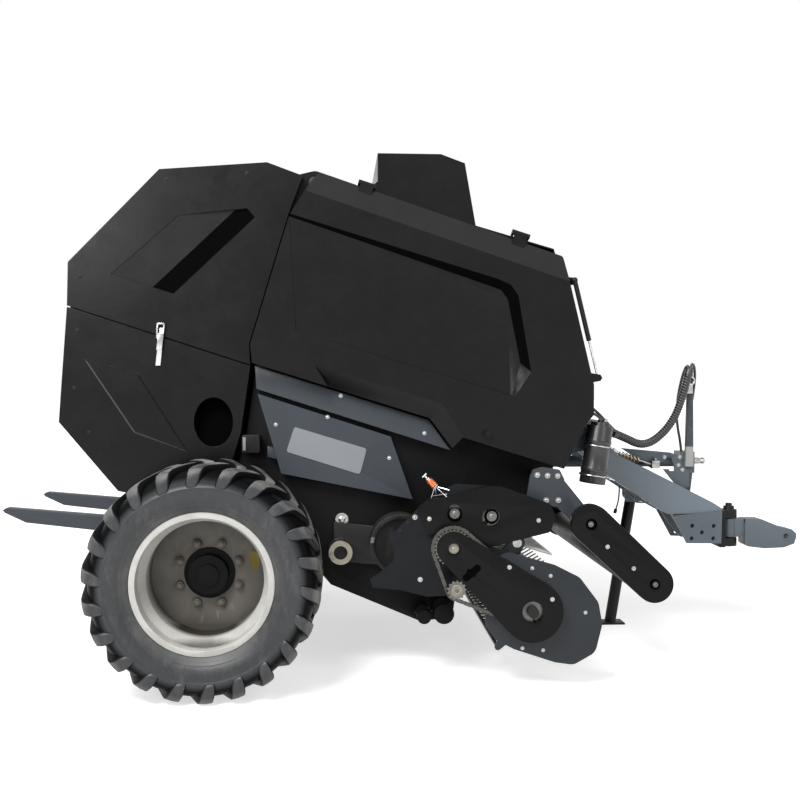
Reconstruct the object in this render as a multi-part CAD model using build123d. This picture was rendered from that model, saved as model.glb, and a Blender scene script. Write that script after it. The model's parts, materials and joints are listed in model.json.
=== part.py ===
from build123d import *
import math
import os

# A round baler towed behind a tractor, standing on its two wheels and its parking jack.
# Lengths are millimetres. X points forward to the hitch, Y to the machine's left, Z up.
# Places in side view are (x, z) pairs measured from the axle line on the ground.

# Driving dimensions: overall
OVERALL_WIDTH = 2500.0
HITCH_REACH = 2985.0
FORK_REACH = 1040.0
MOVING_GAP = 10.0
SEAT_GAP = 0.3

# Driving dimensions: wheels
TYRE_RADIUS = 495.0
TYRE_WIDTH = 500.0
LUG_HEIGHT = 26.0
LUG_COUNT = 22
LUG_WIDTH = 62.0
RIM_RADIUS = 286.0
RIM_FLANGE = 12.7
RIM_WIDTH = 406.0
RIM_WALL = 9.0
DISC_THICKNESS = 12.0
DISC_INSET = 290.0
STUD_CIRCLE = 275.0
STUD_COUNT = 8
STUD_RADIUS = 11.0
HUB_BORE = 221.0
SPINDLE_RADIUS = 45.0
AXLE_SECTION = 120.0
FRAME_FOOT_Z = 595.0

# Driving dimensions: body widths, each measured from the middle of the machine
WALL = 12.0
CHAMBER_HALF = 640.0
COVER_HALF = 715.0
DOOR_DEPTH = 65.0
SHEET = 6.0

# Driving dimensions: bale chamber
CHAMBER_CENTRE = (60.0, 1490.0)
CHAMBER_RING = 625.0
ROLLER_RADIUS = 65.0
ROLLER_SHAFT = 25.0
FRONT_ROLLER_ANGLES = (284, 320, 344, 8, 32, 56)
REAR_ROLLER_ANGLES = (80, 104, 128, 152, 176, 200, 224, 248)

# Driving dimensions: side doors and their gas struts
DOOR_HINGE = ((478.0, 2290.0), (1560.0, 1951.0))
HINGE_SHARES = (0.2, 0.85)
HINGE_PIN = 7.0
HINGE_LUG = 12.0
KNUCKLE = 12.0
KNUCKLE_LENGTH = 60.0
STRUT_BALL = 14.0
STRUT_EYE = 11.0

# Driving dimensions: tailgate
TAILGATE_HINGE = (455.0, 2240.0)
HINGE_RADIUS = 30.0
TAILGATE_SEAM = ((-656.0, 1667.0), (166.0, 1400.0))

# Driving dimensions: pickup
PICKUP_ARM_END = (1290.0, 545.0)
PIVOT_PIN = 34.0
ARM_SHEET = 20.0
COMB_TUBE = (1342.0, 622.0)
COMB_RADIUS = 20.0
COMB_COUNT = 36
COMB_SHEET = 8.0
PICKUP_PIVOT = (1050.0, 620.0)
REEL_AXIS = (1389.0, 346.0)
REEL_HALF = 950.0
TINE_REACH = 198.0
BAND_RADIUS = 150.0
BAND_THICKNESS = 5.0
BAND_WIDTH = 44.0
BAND_COUNT = 26
BAND_RAIL = 9.0
BAND_RAIL_TOP = (1195.0, 486.0)
BAND_RAIL_LOW = (1246.0, 186.0)
TINE_BARS = 4
TINE_RADIUS = 4.5
TINE_BAR_RADIUS = 14.0
TINE_BAR_CIRCLE = 95.0
REEL_SHAFT = 24.0
GUARD_HALF = 1060.0
GUARD_SHEET = 10.0
CHAIN_CASE_DEPTH = 50.0
CHAIN_PITCH = 19.05
CHAIN_DEPTH = 26.0
CHAIN_HALF = 7.5
LINK_PLATE = 3.0
LINK_GAP = 10.0
SPROCKETS = ((PICKUP_PIVOT, 29), ((1064.0, 440.0), 13), (REEL_AXIS, 24))

# Driving dimensions: crop roller
CROP_PIVOT = (1652.0, 712.0)
CROP_AXIS = (1931.0, 450.0)
CROP_ROLLER_RADIUS = 72.0
CROP_ROLLER_HALF = 930.0
CROP_ARM_ENDS = (86.0, 82.0)
CROP_ARM_DEPTH = 50.0
CROP_PIN = 25.0
HANGER_Y = 885.0
HANGER_SHEET = 15.0
HANGER_TUBE = (1500.0, 876.0)

# Driving dimensions: drawbar and hitch
BEAM_WIDTH = 60.0
BEAM_REAR_Y = 150.0
BEAM_FRONT_Y = 75.0
EYE_HOLE = 15.0
EYE_X = 2929.0
EYE_Z = 506.0
SWIVEL_X = 2637.0
SWIVEL_RADIUS = 17.0
SWIVEL_LOW = 453.0
SWIVEL_HIGH = 646.0
TONGUE_ROOT = 96.0
TONGUE_HALF = 52.0
CHEEK = 12.0
PTO_AXIS_Z = 905.0
PTO_RADIUS = 17.45
PTO_JOURNAL = 22.0
PTO_SHOULDER_X = 2436.0
PTO_TIP_X = 2502.0

# Driving dimensions: parking jack and bale forks
JACK_TOP = (2167.0, 713.0)
JACK_FOOT = (2051.0, 0.0)
JACK_TUBE = 30.0
JACK_Y = 207.0
CANISTER_RADIUS = 60.0
CANISTER_BAND = 2.5
FORK_Y = 365.0
FORK_HINGE = (-190.0, 612.0)
FORK_TUBE_HALF = 480.0
FORK_PIN = 20.0
FORK_SECTION = (70.0, 72.0)

ORIGIN_SHIFT = (FORK_REACH - HITCH_REACH) / 2
WHEEL_Y = OVERALL_WIDTH / 2 - TYRE_WIDTH / 2
RIM_EDGE_Y = WHEEL_Y + RIM_WIDTH / 2
DISC_Y = RIM_EDGE_Y - DISC_INSET
DOOR_IN = COVER_HALF + MOVING_GAP
DOOR_OUT = DOOR_IN + DOOR_DEPTH
STRUT_TOP = Vector(1640, -DOOR_OUT + 30, 1790)
STRUT_FOOT = Vector(1748, -DOOR_OUT + 30, 1345)


# Helpers


def slab(points, y_from, y_to, corner=0.0):
    """A plate with a side-view outline, between two planes across the machine."""
    y_from, y_to = sorted((y_from, y_to))
    corners = [(x, y_from, z) for x, z in points]
    if corner:
        edge = FilletPolyline(*corners, radius=corner, close=True)
    else:
        edge = Polyline(*corners, close=True)
    return extrude(make_face(edge), amount=y_to - y_from, dir=(0, 1, 0))


def bar(place, radius, y_from, y_to):
    """A round bar across the machine at a side-view place."""
    length = abs(y_to - y_from)
    return Pos(place[0], (y_from + y_to) / 2, place[1]) * Rot(90, 0, 0) * Cylinder(radius, length)


def inset(points, gap):
    """The outline moved inwards by gap all round."""
    edge = Polyline(*[(x, z) for x, z in points], close=True)
    smaller = offset(make_face(edge), amount=-gap, kind=Kind.INTERSECTION)
    ring = smaller.faces()[0].outer_wire()
    return [(v.X, v.Y) for v in ring_points(ring)]


def ring_points(wire):
    """The corners of a straight-sided wire in order."""
    return [edge.position_at(0) for edge in wire.order_edges()]


def beside(line, distance):
    """The side-view line moved sideways by a distance, to the right of its direction."""
    normals = []
    for (ax, az), (bx, bz) in zip(line, line[1:]):
        normals.append(Vector(bz - az, ax - bx).normalized())
    moved = []
    for index, (x, z) in enumerate(line):
        before = normals[max(index - 1, 0)]
        after = normals[min(index, len(normals) - 1)]
        mitre = (before + after) * (distance / (1 + before.dot(after)))
        moved.append((x + mitre.X, z + mitre.Y))
    return moved


def link(end_a, end_b, radius_a, radius_b, y_from, y_to):
    """A plate round two centres, with sides tangent to both rounds."""
    disc_a = bar(end_a, radius_a, y_from, y_to)
    disc_b = bar(end_b, radius_b, y_from, y_to)
    span = math.dist(end_a, end_b)
    lean = math.acos((radius_a - radius_b) / span)
    aim = math.atan2(end_b[1] - end_a[1], end_b[0] - end_a[0])
    sides = []
    for turn, order in ((lean, 1), (-lean, -1)):
        pair = [
            (end_a[0] + radius_a * math.cos(aim + turn), end_a[1] + radius_a * math.sin(aim + turn)),
            (end_b[0] + radius_b * math.cos(aim + turn), end_b[1] + radius_b * math.sin(aim + turn)),
        ]
        sides += pair[::order]
    return disc_a + disc_b + slab(sides, y_from, y_to)


def to_left(shape):
    """The same piece on the machine's left side."""
    return mirror(shape, about=Plane.XZ)


def ring_place(centre, radius, degrees):
    """A side-view place on a circle."""
    turn = math.radians(degrees)
    return (centre[0] + radius * math.cos(turn), centre[1] + radius * math.sin(turn))


# Wheels, modelled on the right side


def tyre():
    half = TYRE_WIDTH / 2
    base = TYRE_RADIUS - LUG_HEIGHT
    bead = RIM_RADIUS
    lip = RIM_RADIUS + RIM_FLANGE
    bead_half = RIM_WIDTH / 2 - RIM_WALL - 9.2
    section = [
        (bead, bead_half),
        (lip + 1, bead_half + 8.5),
        (lip + 1.5, RIM_WIDTH / 2 + 1),
        (bead + 48, half - 12),
        (base - 70, half),
        (base - 28, half - 14),
        (base, half - 55),
        (base, -half + 55),
        (base - 28, -half + 14),
        (base - 70, -half),
        (bead + 48, -half + 12),
        (lip + 1.5, -RIM_WIDTH / 2 - 1),
        (lip + 1, -bead_half - 8.5),
        (bead, -bead_half),
    ]
    edge = Polyline(*[(r, y, 0) for r, y in section], close=True)
    body = revolve(make_face(edge), axis=Axis.Y)
    lugs = []
    reach = half - 6
    for side in (1, -1):
        for index in range(LUG_COUNT):
            step = 360.0 / LUG_COUNT
            turn = index * step + (0 if side > 0 else step / 2)
            lugs.append(Rot(0, turn, 0) * tread_lug(base, reach, side))
    carcass = body
    for lug in lugs:
        carcass = carcass + lug
    return place_wheel(carcass)


def tread_lug(base, reach, side):
    """One slanted tread block that starts near the middle and wraps over the shoulder."""
    slant = 70.0
    inner = 22.0
    half_width = LUG_WIDTH / 2
    outline = [
        (-half_width * 0.7 + slant, side * -inner),
        (half_width * 0.7 + slant, side * -inner),
        (half_width + 10, side * reach * 0.55),
        (half_width - 20, side * reach),
        (-half_width - 20, side * reach),
        (-half_width + 6, side * reach * 0.5),
    ]
    edge = Polyline(*[(x, y, base - 64) for x, y in outline], close=True)
    block = extrude(make_face(edge), amount=64 + LUG_HEIGHT, dir=(0, 0, 1))
    crown = Rot(90, 0, 0) * Cylinder(TYRE_RADIUS, 4 * reach)
    shoulder = [(base - 90, reach + 30), (base - 90, -reach - 30), (TYRE_RADIUS + 5, -reach + 60),
                (TYRE_RADIUS + 5, reach - 60)]
    dome = extrude(make_face(Polyline(*[(0, y, z) for z, y in shoulder], close=True)), amount=400, both=True,
                   dir=(1, 0, 0))
    return block & crown & dome


def place_wheel(shape):
    return Pos(0, -WHEEL_Y, TYRE_RADIUS) * shape


def rim():
    half = RIM_WIDTH / 2
    lip = RIM_RADIUS + RIM_FLANGE
    inner = RIM_RADIUS - RIM_WALL
    drop = 30.0
    section = [
        (lip, -half),
        (lip, -half + RIM_WALL),
        (RIM_RADIUS - SEAT_GAP, -half + RIM_WALL + 8),
        (RIM_RADIUS - SEAT_GAP, -half + 90),
        (RIM_RADIUS - drop, -half + 120),
        (RIM_RADIUS - drop, half - 130),
        (RIM_RADIUS - SEAT_GAP, half - 100),
        (RIM_RADIUS - SEAT_GAP, half - RIM_WALL - 8),
        (lip, half - RIM_WALL),
        (lip, half),
        (inner - 4, half),
        (inner, half - 96),
        (inner - drop, half - 126),
        (inner - drop, -half + 120),
        (inner, -half + 88),
        (inner - 4, -half),
    ]
    barrel = revolve(make_face(Polyline(*[(r, y, 0) for r, y in section], close=True)), axis=Axis.Y)
    disc_from = WHEEL_Y - DISC_Y
    disc_section = [
        (HUB_BORE / 2, disc_from),
        (HUB_BORE / 2, disc_from + DISC_THICKNESS),
        (STUD_CIRCLE / 2 + 30, disc_from + DISC_THICKNESS),
        (inner - drop - 22, disc_from + DISC_THICKNESS - 28),
        (inner - drop + 2, disc_from + DISC_THICKNESS - 28),
        (inner - drop + 2, disc_from - 28),
        (inner - drop - 26, disc_from - 28),
        (STUD_CIRCLE / 2 + 26, disc_from),
    ]
    disc = revolve(make_face(Polyline(*[(r, y, 0) for r, y in disc_section], close=True)), axis=Axis.Y)
    return place_wheel(barrel + disc)


def hub():
    """The hub with its flange against the disc, its cap and the wheel studs with nuts."""
    disc_face = -DISC_Y
    flange_radius = STUD_CIRCLE / 2 + 28
    back = disc_face + DISC_THICKNESS + SEAT_GAP
    flange = bar((0, TYRE_RADIUS), flange_radius, back, back + 16)
    barrel = bar((0, TYRE_RADIUS), 85, disc_face - 62, back + 90)
    spigot = bar((0, TYRE_RADIUS), HUB_BORE / 2 - SEAT_GAP, disc_face - 6, back + 8)
    cap = bar((0, TYRE_RADIUS), 46, disc_face - 78, disc_face - 40)
    bore = bar((0, TYRE_RADIUS), SPINDLE_RADIUS + SEAT_GAP, disc_face - 30, back + 120)
    body = flange + barrel + spigot + cap - bore
    for index in range(STUD_COUNT):
        place = ring_place((0, TYRE_RADIUS), STUD_CIRCLE / 2, (index + 0.5) * 360 / STUD_COUNT)
        body = body + bar(place, STUD_RADIUS, disc_face - 34, back + 8)
        body = body + bar(place, STUD_RADIUS + 6, disc_face - 22, disc_face - SEAT_GAP)
    return body


def wheel_disc_holes(shape):
    """Clears the disc round the wheel studs."""
    for index in range(STUD_COUNT):
        place = ring_place((0, TYRE_RADIUS), STUD_CIRCLE / 2, (index + 0.5) * 360 / STUD_COUNT)
        hole = bar(place, STUD_RADIUS + SEAT_GAP, -DISC_Y - 20, -DISC_Y + DISC_THICKNESS + 20)
        shape = shape - hole
    return shape


def axle():
    """The axle beam with its spindles and the saddles under the frame."""
    half = AXLE_SECTION / 2
    shoulder = DISC_Y - DISC_THICKNESS - 110
    beam = Pos(0, 0, TYRE_RADIUS) * Box(AXLE_SECTION, 2 * shoulder, AXLE_SECTION)
    stub = bar((0, TYRE_RADIUS), SPINDLE_RADIUS, -DISC_Y - 25, DISC_Y + 25)
    body = beam + stub
    seat_top = TYRE_RADIUS + half
    saddle_height = FRAME_FOOT_Z - seat_top - SEAT_GAP
    for side in (1, -1):
        saddle = Pos(0, side * (CHAMBER_HALF + WALL / 2), seat_top + saddle_height / 2)
        body = body + saddle * Box(180, 70, saddle_height)
    return body


def fork_hinge_arm():
    """One arm clamped over the axle beam, with the pin that the bale forks turn on."""
    arm_from = FORK_TUBE_HALF + MOVING_GAP
    arm = link(FORK_HINGE, (-40, 540), 55, 50, -arm_from - 25, -arm_from)
    beam = Pos(0, -arm_from, TYRE_RADIUS) * Box(AXLE_SECTION + 2 * SEAT_GAP, 100, AXLE_SECTION + 2 * SEAT_GAP)
    return (arm - beam) + bar(FORK_HINGE, FORK_PIN, -arm_from - 25, -FORK_TUBE_HALF + 40)


# Frame of the machine

HOOD_PROFILE = [
    (540, 2230), (1552, 1938), (1596, 1790), (1704, 1316), (1704, 1176), (1572, 936),
]
FRAME_SIDE = [(470, 2243)] + beside(HOOD_PROFILE, SHEET + SEAT_GAP) + [
    (1548, 842), (1440, 826), (1250, 700), (1150, 560), (1120, 430), (1090, 223), (933, 215), (844, 254),
    (526, 388), (430, 500), (110, FRAME_FOOT_Z), (-110, FRAME_FOOT_Z), (-110, 640), (40, 740), (140, 1095),
    (186, 1400), (182, 1500), (366, 2060), (420, 2140),
]
CROSS_TUBES = (((949, 262), 32), ((1039, 275), 46))
FEED_FLOOR = [(1120, 330), (560, 500), (330, 740), (250, 780)]


def frame_side():
    """One side plate of the chamber front, with room for the tailgate's hinge ear and cross tubes."""
    plate = slab(FRAME_SIDE, -CHAMBER_HALF - WALL, -CHAMBER_HALF)
    plate = plate - bar(TAILGATE_HINGE, 95, -CHAMBER_HALF - 2 * WALL, -CHAMBER_HALF + WALL)
    for place, radius in CROSS_TUBES:
        plate = plate - bar(place, radius + SEAT_GAP, -CHAMBER_HALF - 2 * WALL, -CHAMBER_HALF + WALL)
    return plate


def strip_wall(line, thickness, y_from, y_to):
    """A bent sheet across the machine that follows a line in side view, below the line."""
    return slab(line + beside(line, thickness)[::-1], y_from, y_to)


def front_hood():
    """The bent sheet over the top and front, slotted where the drawbar's arms come out."""
    hood = strip_wall(HOOD_PROFILE, SHEET, -COVER_HALF, COVER_HALF)
    for side in (1, -1):
        slot = Pos(1650, side * (CHAMBER_HALF - 30), 1040) * Box(400, 80, 220)
        hood = hood - slot
    fittings = strut_stud()
    for share in HINGE_SHARES:
        fittings = fittings + hinge_lugs(share)
    return hood + fittings + to_left(fittings)


def hinge_plane(share):
    """A plane across the right door's hinge line, with its own x towards the machine's middle."""
    (x0, z0), (x1, z1) = DOOR_HINGE
    place = (x0 + share * (x1 - x0), -DOOR_IN, z0 + share * (z1 - z0))
    return Plane(origin=place, x_dir=(0, 1, 0), z_dir=(x1 - x0, 0, z1 - z0))


def hinge_lugs(share):
    """Two lugs on the hood with the pin that the door's knuckle turns on."""
    place = hinge_plane(share)
    inward = COVER_HALF - DOOR_IN
    outline = [(0, KNUCKLE), (25, KNUCKLE), (25, -45), (-inward + 1, -45), (-inward + 1, -7), (0, -7)]
    body = Cylinder(HINGE_PIN, KNUCKLE_LENGTH + 2 * HINGE_LUG)
    for side in (1, -1):
        shift = Pos(0, 0, side * (KNUCKLE_LENGTH + HINGE_LUG + 2 * SEAT_GAP) / 2)
        plate = extrude(make_face(Polyline(*outline, close=True)), amount=HINGE_LUG / 2, both=True)
        body = body + shift * (plate + Cylinder(KNUCKLE, HINGE_LUG))
    return place * body


def strut_stud():
    """The lug and stud on the hood that carry the gas strut's upper ball."""
    x, z = STRUT_TOP.X, STRUT_TOP.Z
    lug = slab([(x - 60, z + 22), (x + 14, z + 16), (x + 14, z - 16), (x - 52, z - 22)], -COVER_HALF, -COVER_HALF + 12)
    return lug + bar((x, z), 6, STRUT_TOP.Y + STRUT_BALL + SEAT_GAP, -COVER_HALF + 5)


def feed_floor():
    return strip_wall(FEED_FLOOR, -WALL, -CHAMBER_HALF + SEAT_GAP, CHAMBER_HALF - SEAT_GAP)


def chamber_roller(degrees):
    place = ring_place(CHAMBER_CENTRE, CHAMBER_RING, degrees)
    half = CHAMBER_HALF - 2
    drum = bar(place, ROLLER_RADIUS, -half, half)
    return drum + bar(place, ROLLER_SHAFT, -CHAMBER_HALF + SEAT_GAP, CHAMBER_HALF - SEAT_GAP)


TOP_BOX = [(745, 2391), (1041, 2390), (1154, 2349), (1209, 2037.5), (707, 2182.3), (707, 2227), (745, 2262)]


def top_box():
    shell = slab(TOP_BOX, -600, 600)
    room = [(751, 2385), (1040, 2384), (1149, 2344), (1203, 2030), (713, 2170), (751, 2240)]
    return shell - slab(room, -600 + SHEET, 600 - SHEET)


# Tailgate

TAILGATE_SIDE = [
    (-243, 2285), (240, 2321), (430, 2255), (338, 2085), (160, 1500), (164, 1403), (117, 1090), (25, 800),
    (-150, 775), (-433, 833), (-695, 1146), (-656, 1667), (-651, 1865),
]


def tailgate_shell():
    outer = slab(TAILGATE_SIDE, -CHAMBER_HALF - WALL, CHAMBER_HALF + WALL)
    cavity_side = [
        (-238, 2279), (238, 2313), (480, 2230), (480, 2085), (200, 1500), (200, 1403), (200, 1090),
        (200, 700), (25, 700), (-150, 781), (-430, 840), (-689, 1148), (-650, 1667), (-645, 1862),
    ]
    cavity = slab(cavity_side, -CHAMBER_HALF, CHAMBER_HALF)
    room = bar(TAILGATE_HINGE, 66, -CHAMBER_HALF - 60, CHAMBER_HALF + 60)
    ear = link(TAILGATE_HINGE, (330, 2200), 55, 64, -CHAMBER_HALF - WALL, -CHAMBER_HALF)
    ear = ear - bar(TAILGATE_HINGE, HINGE_RADIUS + SEAT_GAP, -CHAMBER_HALF - 60, -CHAMBER_HALF + 60)
    return (outer - cavity - room) + ear + to_left(ear)


def hinge_tube():
    """The tailgate's hinge tube, with a lug seated against each side plate of the frame."""
    tube = bar(TAILGATE_HINGE, HINGE_RADIUS, -CHAMBER_HALF - WALL, CHAMBER_HALF + WALL)
    lug = link(TAILGATE_HINGE, (590, 2095), 38, 45, -CHAMBER_HALF + SEAT_GAP, -CHAMBER_HALF + 20)
    return tube + lug + to_left(lug)


def cover_pan(outline, y_out, depth, sheet):
    """A sheet-metal pan: a thick face with returned edges, open towards the machine."""
    pan = slab(outline, -y_out, -y_out + depth)
    hollow = slab(inset(outline, sheet), -y_out + 20, -y_out + depth + 1)
    return pan - hollow


def crease_pocket(outline, crease, reach_a, reach_b, face, depth):
    """A pressed pocket whose two flanks meet in a crease, inside a side-view outline."""
    (ax, az), (bx, bz) = crease
    along = Vector(bx - ax, 0, bz - az).normalized()
    across = Vector(along.Z, 0, -along.X)
    middle = Vector((ax + bx) / 2, -face, (az + bz) / 2)
    start = middle - along * 600
    corners = [start - across * reach_a, start + Vector(0, depth, 0), start + across * reach_b]
    lifted = [c - Vector(0, 0.5, 0) if i != 1 else c for i, c in enumerate(corners)]
    prism = extrude(make_face(Polyline(*lifted, close=True)), amount=1200, dir=along)
    return prism & slab(outline, -face - 1, -face + depth + 1)


def split_outline(upper):
    """The tailgate's side outline above or below the seam between its two covers."""
    (x0, z0), (x1, z1) = TAILGATE_SEAM
    gap = 3.0 if upper else -3.0
    slope = (z1 - z0) / (x1 - x0)
    seam_rear = (TAILGATE_SEAM[0][0], z0 + gap)
    seam_front = (TAILGATE_SEAM[1][0] - 4, z0 + slope * (TAILGATE_SEAM[1][0] - 4 - x0) + gap)
    if upper:
        return [(-243, 2285), (240, 2321), (402, 2262), (336, 2085), (158, 1500), seam_front, seam_rear,
                (-651, 1865)]
    return [seam_rear, seam_front, (117, 1090), (25, 800), (-150, 775), (-433, 833), (-695, 1146)]


COVER_FIELD = [(-581, 1429), (-337, 1358), (-114, 1004), (-360, 1096)]
FIELD_RISE = 9.0


def tailgate_cover(upper):
    depth = COVER_HALF - CHAMBER_HALF - WALL - SEAT_GAP
    pan = cover_pan(split_outline(upper), COVER_HALF, depth, SHEET)
    if upper:
        pocket = [(-459, 1812), (-157, 2079), (150, 2113), (208, 2046), (-149, 1714)]
        pan = pan - crease_pocket(pocket, ((-268, 1763), (78, 2090)), 200, 90, COVER_HALF, 16)
    else:
        field = slab(COVER_FIELD, -COVER_HALF - FIELD_RISE, -COVER_HALF + 1)
        pan = pan + chamfer(field.faces().sort_by(Axis.Y)[0].edges(), FIELD_RISE - 1)
        pan = pan - Pos(-4, -COVER_HALF, 1144) * Rot(90, 0, 0) * extrude(Ellipse(88, 112), 100, both=True)
    return pan


def latch():
    """The toggle latch over the seam between the covers."""
    base = slab([(-243, 1570), (-222, 1570), (-240, 1400), (-262, 1400)], -COVER_HALF - 8, -COVER_HALF - SEAT_GAP)
    lever = slab([(-247, 1545), (-222, 1545), (-231, 1470), (-255, 1470)], -COVER_HALF - 26, -COVER_HALF - 8)
    loop = slab([(-254, 1592), (-216, 1592), (-226, 1520), (-258, 1520)], -COVER_HALF - 18, -COVER_HALF - 10, corner=8)
    hole = slab([(-247, 1585), (-224, 1585), (-232, 1530), (-251, 1530)], -COVER_HALF - 30, -COVER_HALF - 9, corner=6)
    return base + lever + (loop - hole)


# Side doors and their gas struts

DOOR_SIDE = [
    (478, 2284), (1560, 1945), (1594, 1895), (1612, 1780), (1724, 1312), (1724, 1175), (1696, 1145),
    (1587, 930), (1125, 1075), (1079, 1025), (977, 1161), (176, 1412), (168, 1496), (345, 2077),
]
DOOR_FOLD = ((414, 2184), (1607, 1784))
LOW_FOLDS = (((1033, 1226), (175, 1490)), ((1127, 1073), (1033, 1226)))
FIELD_EDGE = [(340, 2081), (1286, 1791), (1341, 1767), (1376, 1718), (1435, 1372), (1361, 1259), (1334, 1266), (372, 1556)]
FIELD_FLOOR = [(340, 2068), (1254, 1760), (1300, 1742), (1330, 1702), (1388, 1412), (1348, 1268), (1330, 1269),
               (374, 1558)]


def door():
    pan = slab(DOOR_SIDE, -DOOR_OUT, -DOOR_IN)
    hollow = slab(inset(DOOR_SIDE, SHEET), -DOOR_OUT + 14, -DOOR_IN + 1)
    hollow = hollow - turned_edges(14) - sunk_field(SHEET)
    pan = pan - turned_edges(0) - hollow - sunk_field(0)
    knob = bar((1234, 1090), 16, -DOOR_OUT - 28, -DOOR_OUT + 1)
    x, z = STRUT_FOOT.X, STRUT_FOOT.Z
    plate = [(x - 62, z + 26), (x + 6, z + 14), (x + 14, z), (x + 6, z - 14), (x - 54, z - 26)]
    stud_plate = slab(plate, -DOOR_OUT, -DOOR_OUT + 6)
    stud = bar((x, z), 5, -DOOR_OUT, STRUT_FOOT.Y - STRUT_EYE - SEAT_GAP)
    body = pan + knob + stud_plate + stud
    for share in HINGE_SHARES:
        body = body - hinge_plane(share) * Cylinder(KNUCKLE + 6, KNUCKLE_LENGTH + 2 * HINGE_LUG + 12)
        knuckle = Cylinder(KNUCKLE, KNUCKLE_LENGTH)
        leaf = Pos(-12, -31, 0) * Box(8, 62, KNUCKLE_LENGTH)
        bore = Cylinder(HINGE_PIN + SEAT_GAP, 2 * KNUCKLE_LENGTH)
        body = body + hinge_plane(share) * (knuckle + leaf - bore)
    return body


def turned_edges(deeper):
    """The wedges outside the door's fold lines, or off its hollow when deeper."""
    low = edge_wedge(LOW_FOLDS[0], 84, 40, deeper) & edge_wedge(LOW_FOLDS[1], 84, 40, deeper)
    return edge_wedge(DOOR_FOLD, 108, DOOR_DEPTH, deeper) + low


def edge_wedge(fold, reach, sink, deeper):
    """The wedge left of a fold line, where the sheet turns in by sink over reach."""
    (x0, z0), (x1, z1) = fold
    along = Vector(x1 - x0, 0, z1 - z0).normalized()
    out = Vector(-along.Z, 0, along.X)
    start = Vector(x0, -DOOR_OUT + deeper, z0) - along * 400
    inward = Vector(0, sink, 0)
    corners = [start - out * deeper, start + out * (reach - deeper) + inward, start + out * 400 + inward,
               start + out * 400 + Vector(0, -200, 0), start + Vector(0, -200, 0) - out * deeper]
    return extrude(make_face(Polyline(*corners, close=True)), amount=2200, dir=along)


def sunk_field(sheet):
    """The door's sunk field, which deepens forward, or the same grown by its sheet's thickness."""
    edge = beside(FIELD_EDGE + FIELD_EDGE[:2], -sheet)[1:-1] if sheet else FIELD_EDGE
    floor = beside(FIELD_FLOOR + FIELD_FLOOR[:2], -sheet)[1:-1] if sheet else FIELD_FLOOR
    if sheet:
        edge = edge[-1:] + edge[:-1]
        floor = floor[-1:] + floor[:-1]
    upper = [Vector(x, -DOOR_OUT + sheet, z) for x, z in edge]
    lower = [Vector(x, -DOOR_OUT + sheet + field_depth(x, z), z) for x, z in floor]
    sides = Solid.make_loft([Wire.make_polygon(upper), Wire.make_polygon(lower)], ruled=True)
    return Part() + sides + slab(edge, -DOOR_OUT - 1, -DOOR_OUT + sheet)


def field_depth(x, z):
    """How deep the sunk field lies under the door's face: a plane that deepens forward and up."""
    return 1 + 15.5 * (x - 372) / 962 + 5 * (z - 1556 + 0.3 * (x - 372)) / 500


def strut_tube():
    axis = (STRUT_FOOT - STRUT_TOP).normalized()
    span = (STRUT_FOOT - STRUT_TOP).length
    return tube_between(STRUT_TOP, STRUT_TOP + axis * span * 0.62, 11) + Pos(STRUT_TOP) * Sphere(STRUT_BALL)


def strut_rod():
    axis = (STRUT_FOOT - STRUT_TOP).normalized()
    span = (STRUT_FOOT - STRUT_TOP).length
    rod = tube_between(STRUT_TOP + axis * (span * 0.62 + SEAT_GAP), STRUT_FOOT, 5)
    return rod + Pos(STRUT_FOOT) * Sphere(STRUT_EYE)


def tube_between(start, end, radius):
    axis = end - start
    plane = Plane(origin=(start + end) / 2, z_dir=axis)
    return plane * Cylinder(radius, axis.length)


# Grey shields below the doors

SHIELD_UPPER = [(183, 1400), (977, 1150), (1075, 1012), (190, 1294)]
SHIELD_LOWER = [(195, 1272), (801, 1075), (902, 787), (301, 909)]
BLANK_PLATE = [(361, 1122), (692, 1021), (660, 902), (324, 1008)]


def shield_upper():
    return cover_pan(SHIELD_UPPER, COVER_HALF - 0, COVER_HALF - CHAMBER_HALF - WALL - SEAT_GAP, SHEET)


def shield_lower():
    depth = COVER_HALF - CHAMBER_HALF - WALL - SEAT_GAP
    pan = cover_pan(SHIELD_LOWER, COVER_HALF, depth, SHEET)
    return pan + slab(BLANK_PLATE, -COVER_HALF - 3, -COVER_HALF + 1, corner=12)


def side_lamp():
    """The small lamp block on the frame, behind the wheel."""
    outline = [(125, 1005), (205, 1005), (205, 1085), (125, 1085)]
    return slab(outline, -COVER_HALF - 25, -CHAMBER_HALF - WALL - SEAT_GAP, corner=8)


# Drive side pieces between the frame and the pickup


ROTOR_AXIS = (838, 592)


def drive_case():
    """The rotor drive housing on the side of the frame, with the bearing ring beside it."""
    housing = bar(ROTOR_AXIS, 134, -800, -CHAMBER_HALF - WALL - SEAT_GAP) - bar(ROTOR_AXIS, 116, -801, -786)
    housing = housing + bar(ROTOR_AXIS, 40, -800, -780)
    bearing = bar((571, 552), 55, -760, -CHAMBER_HALF - WALL - SEAT_GAP)
    bearing = bearing - bar((571, 552), 36, -761, -740)
    return housing + bearing + slab([(540, 680), (900, 640), (900, 470), (540, 500)], -680, -652.3)


def cross_tubes():
    """The two cross tubes under the feed floor, which end in caps outside the frame."""
    tubes = [bar(place, radius, -800, 800) for place, radius in CROSS_TUBES]
    return tubes[0] + tubes[1]


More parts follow.
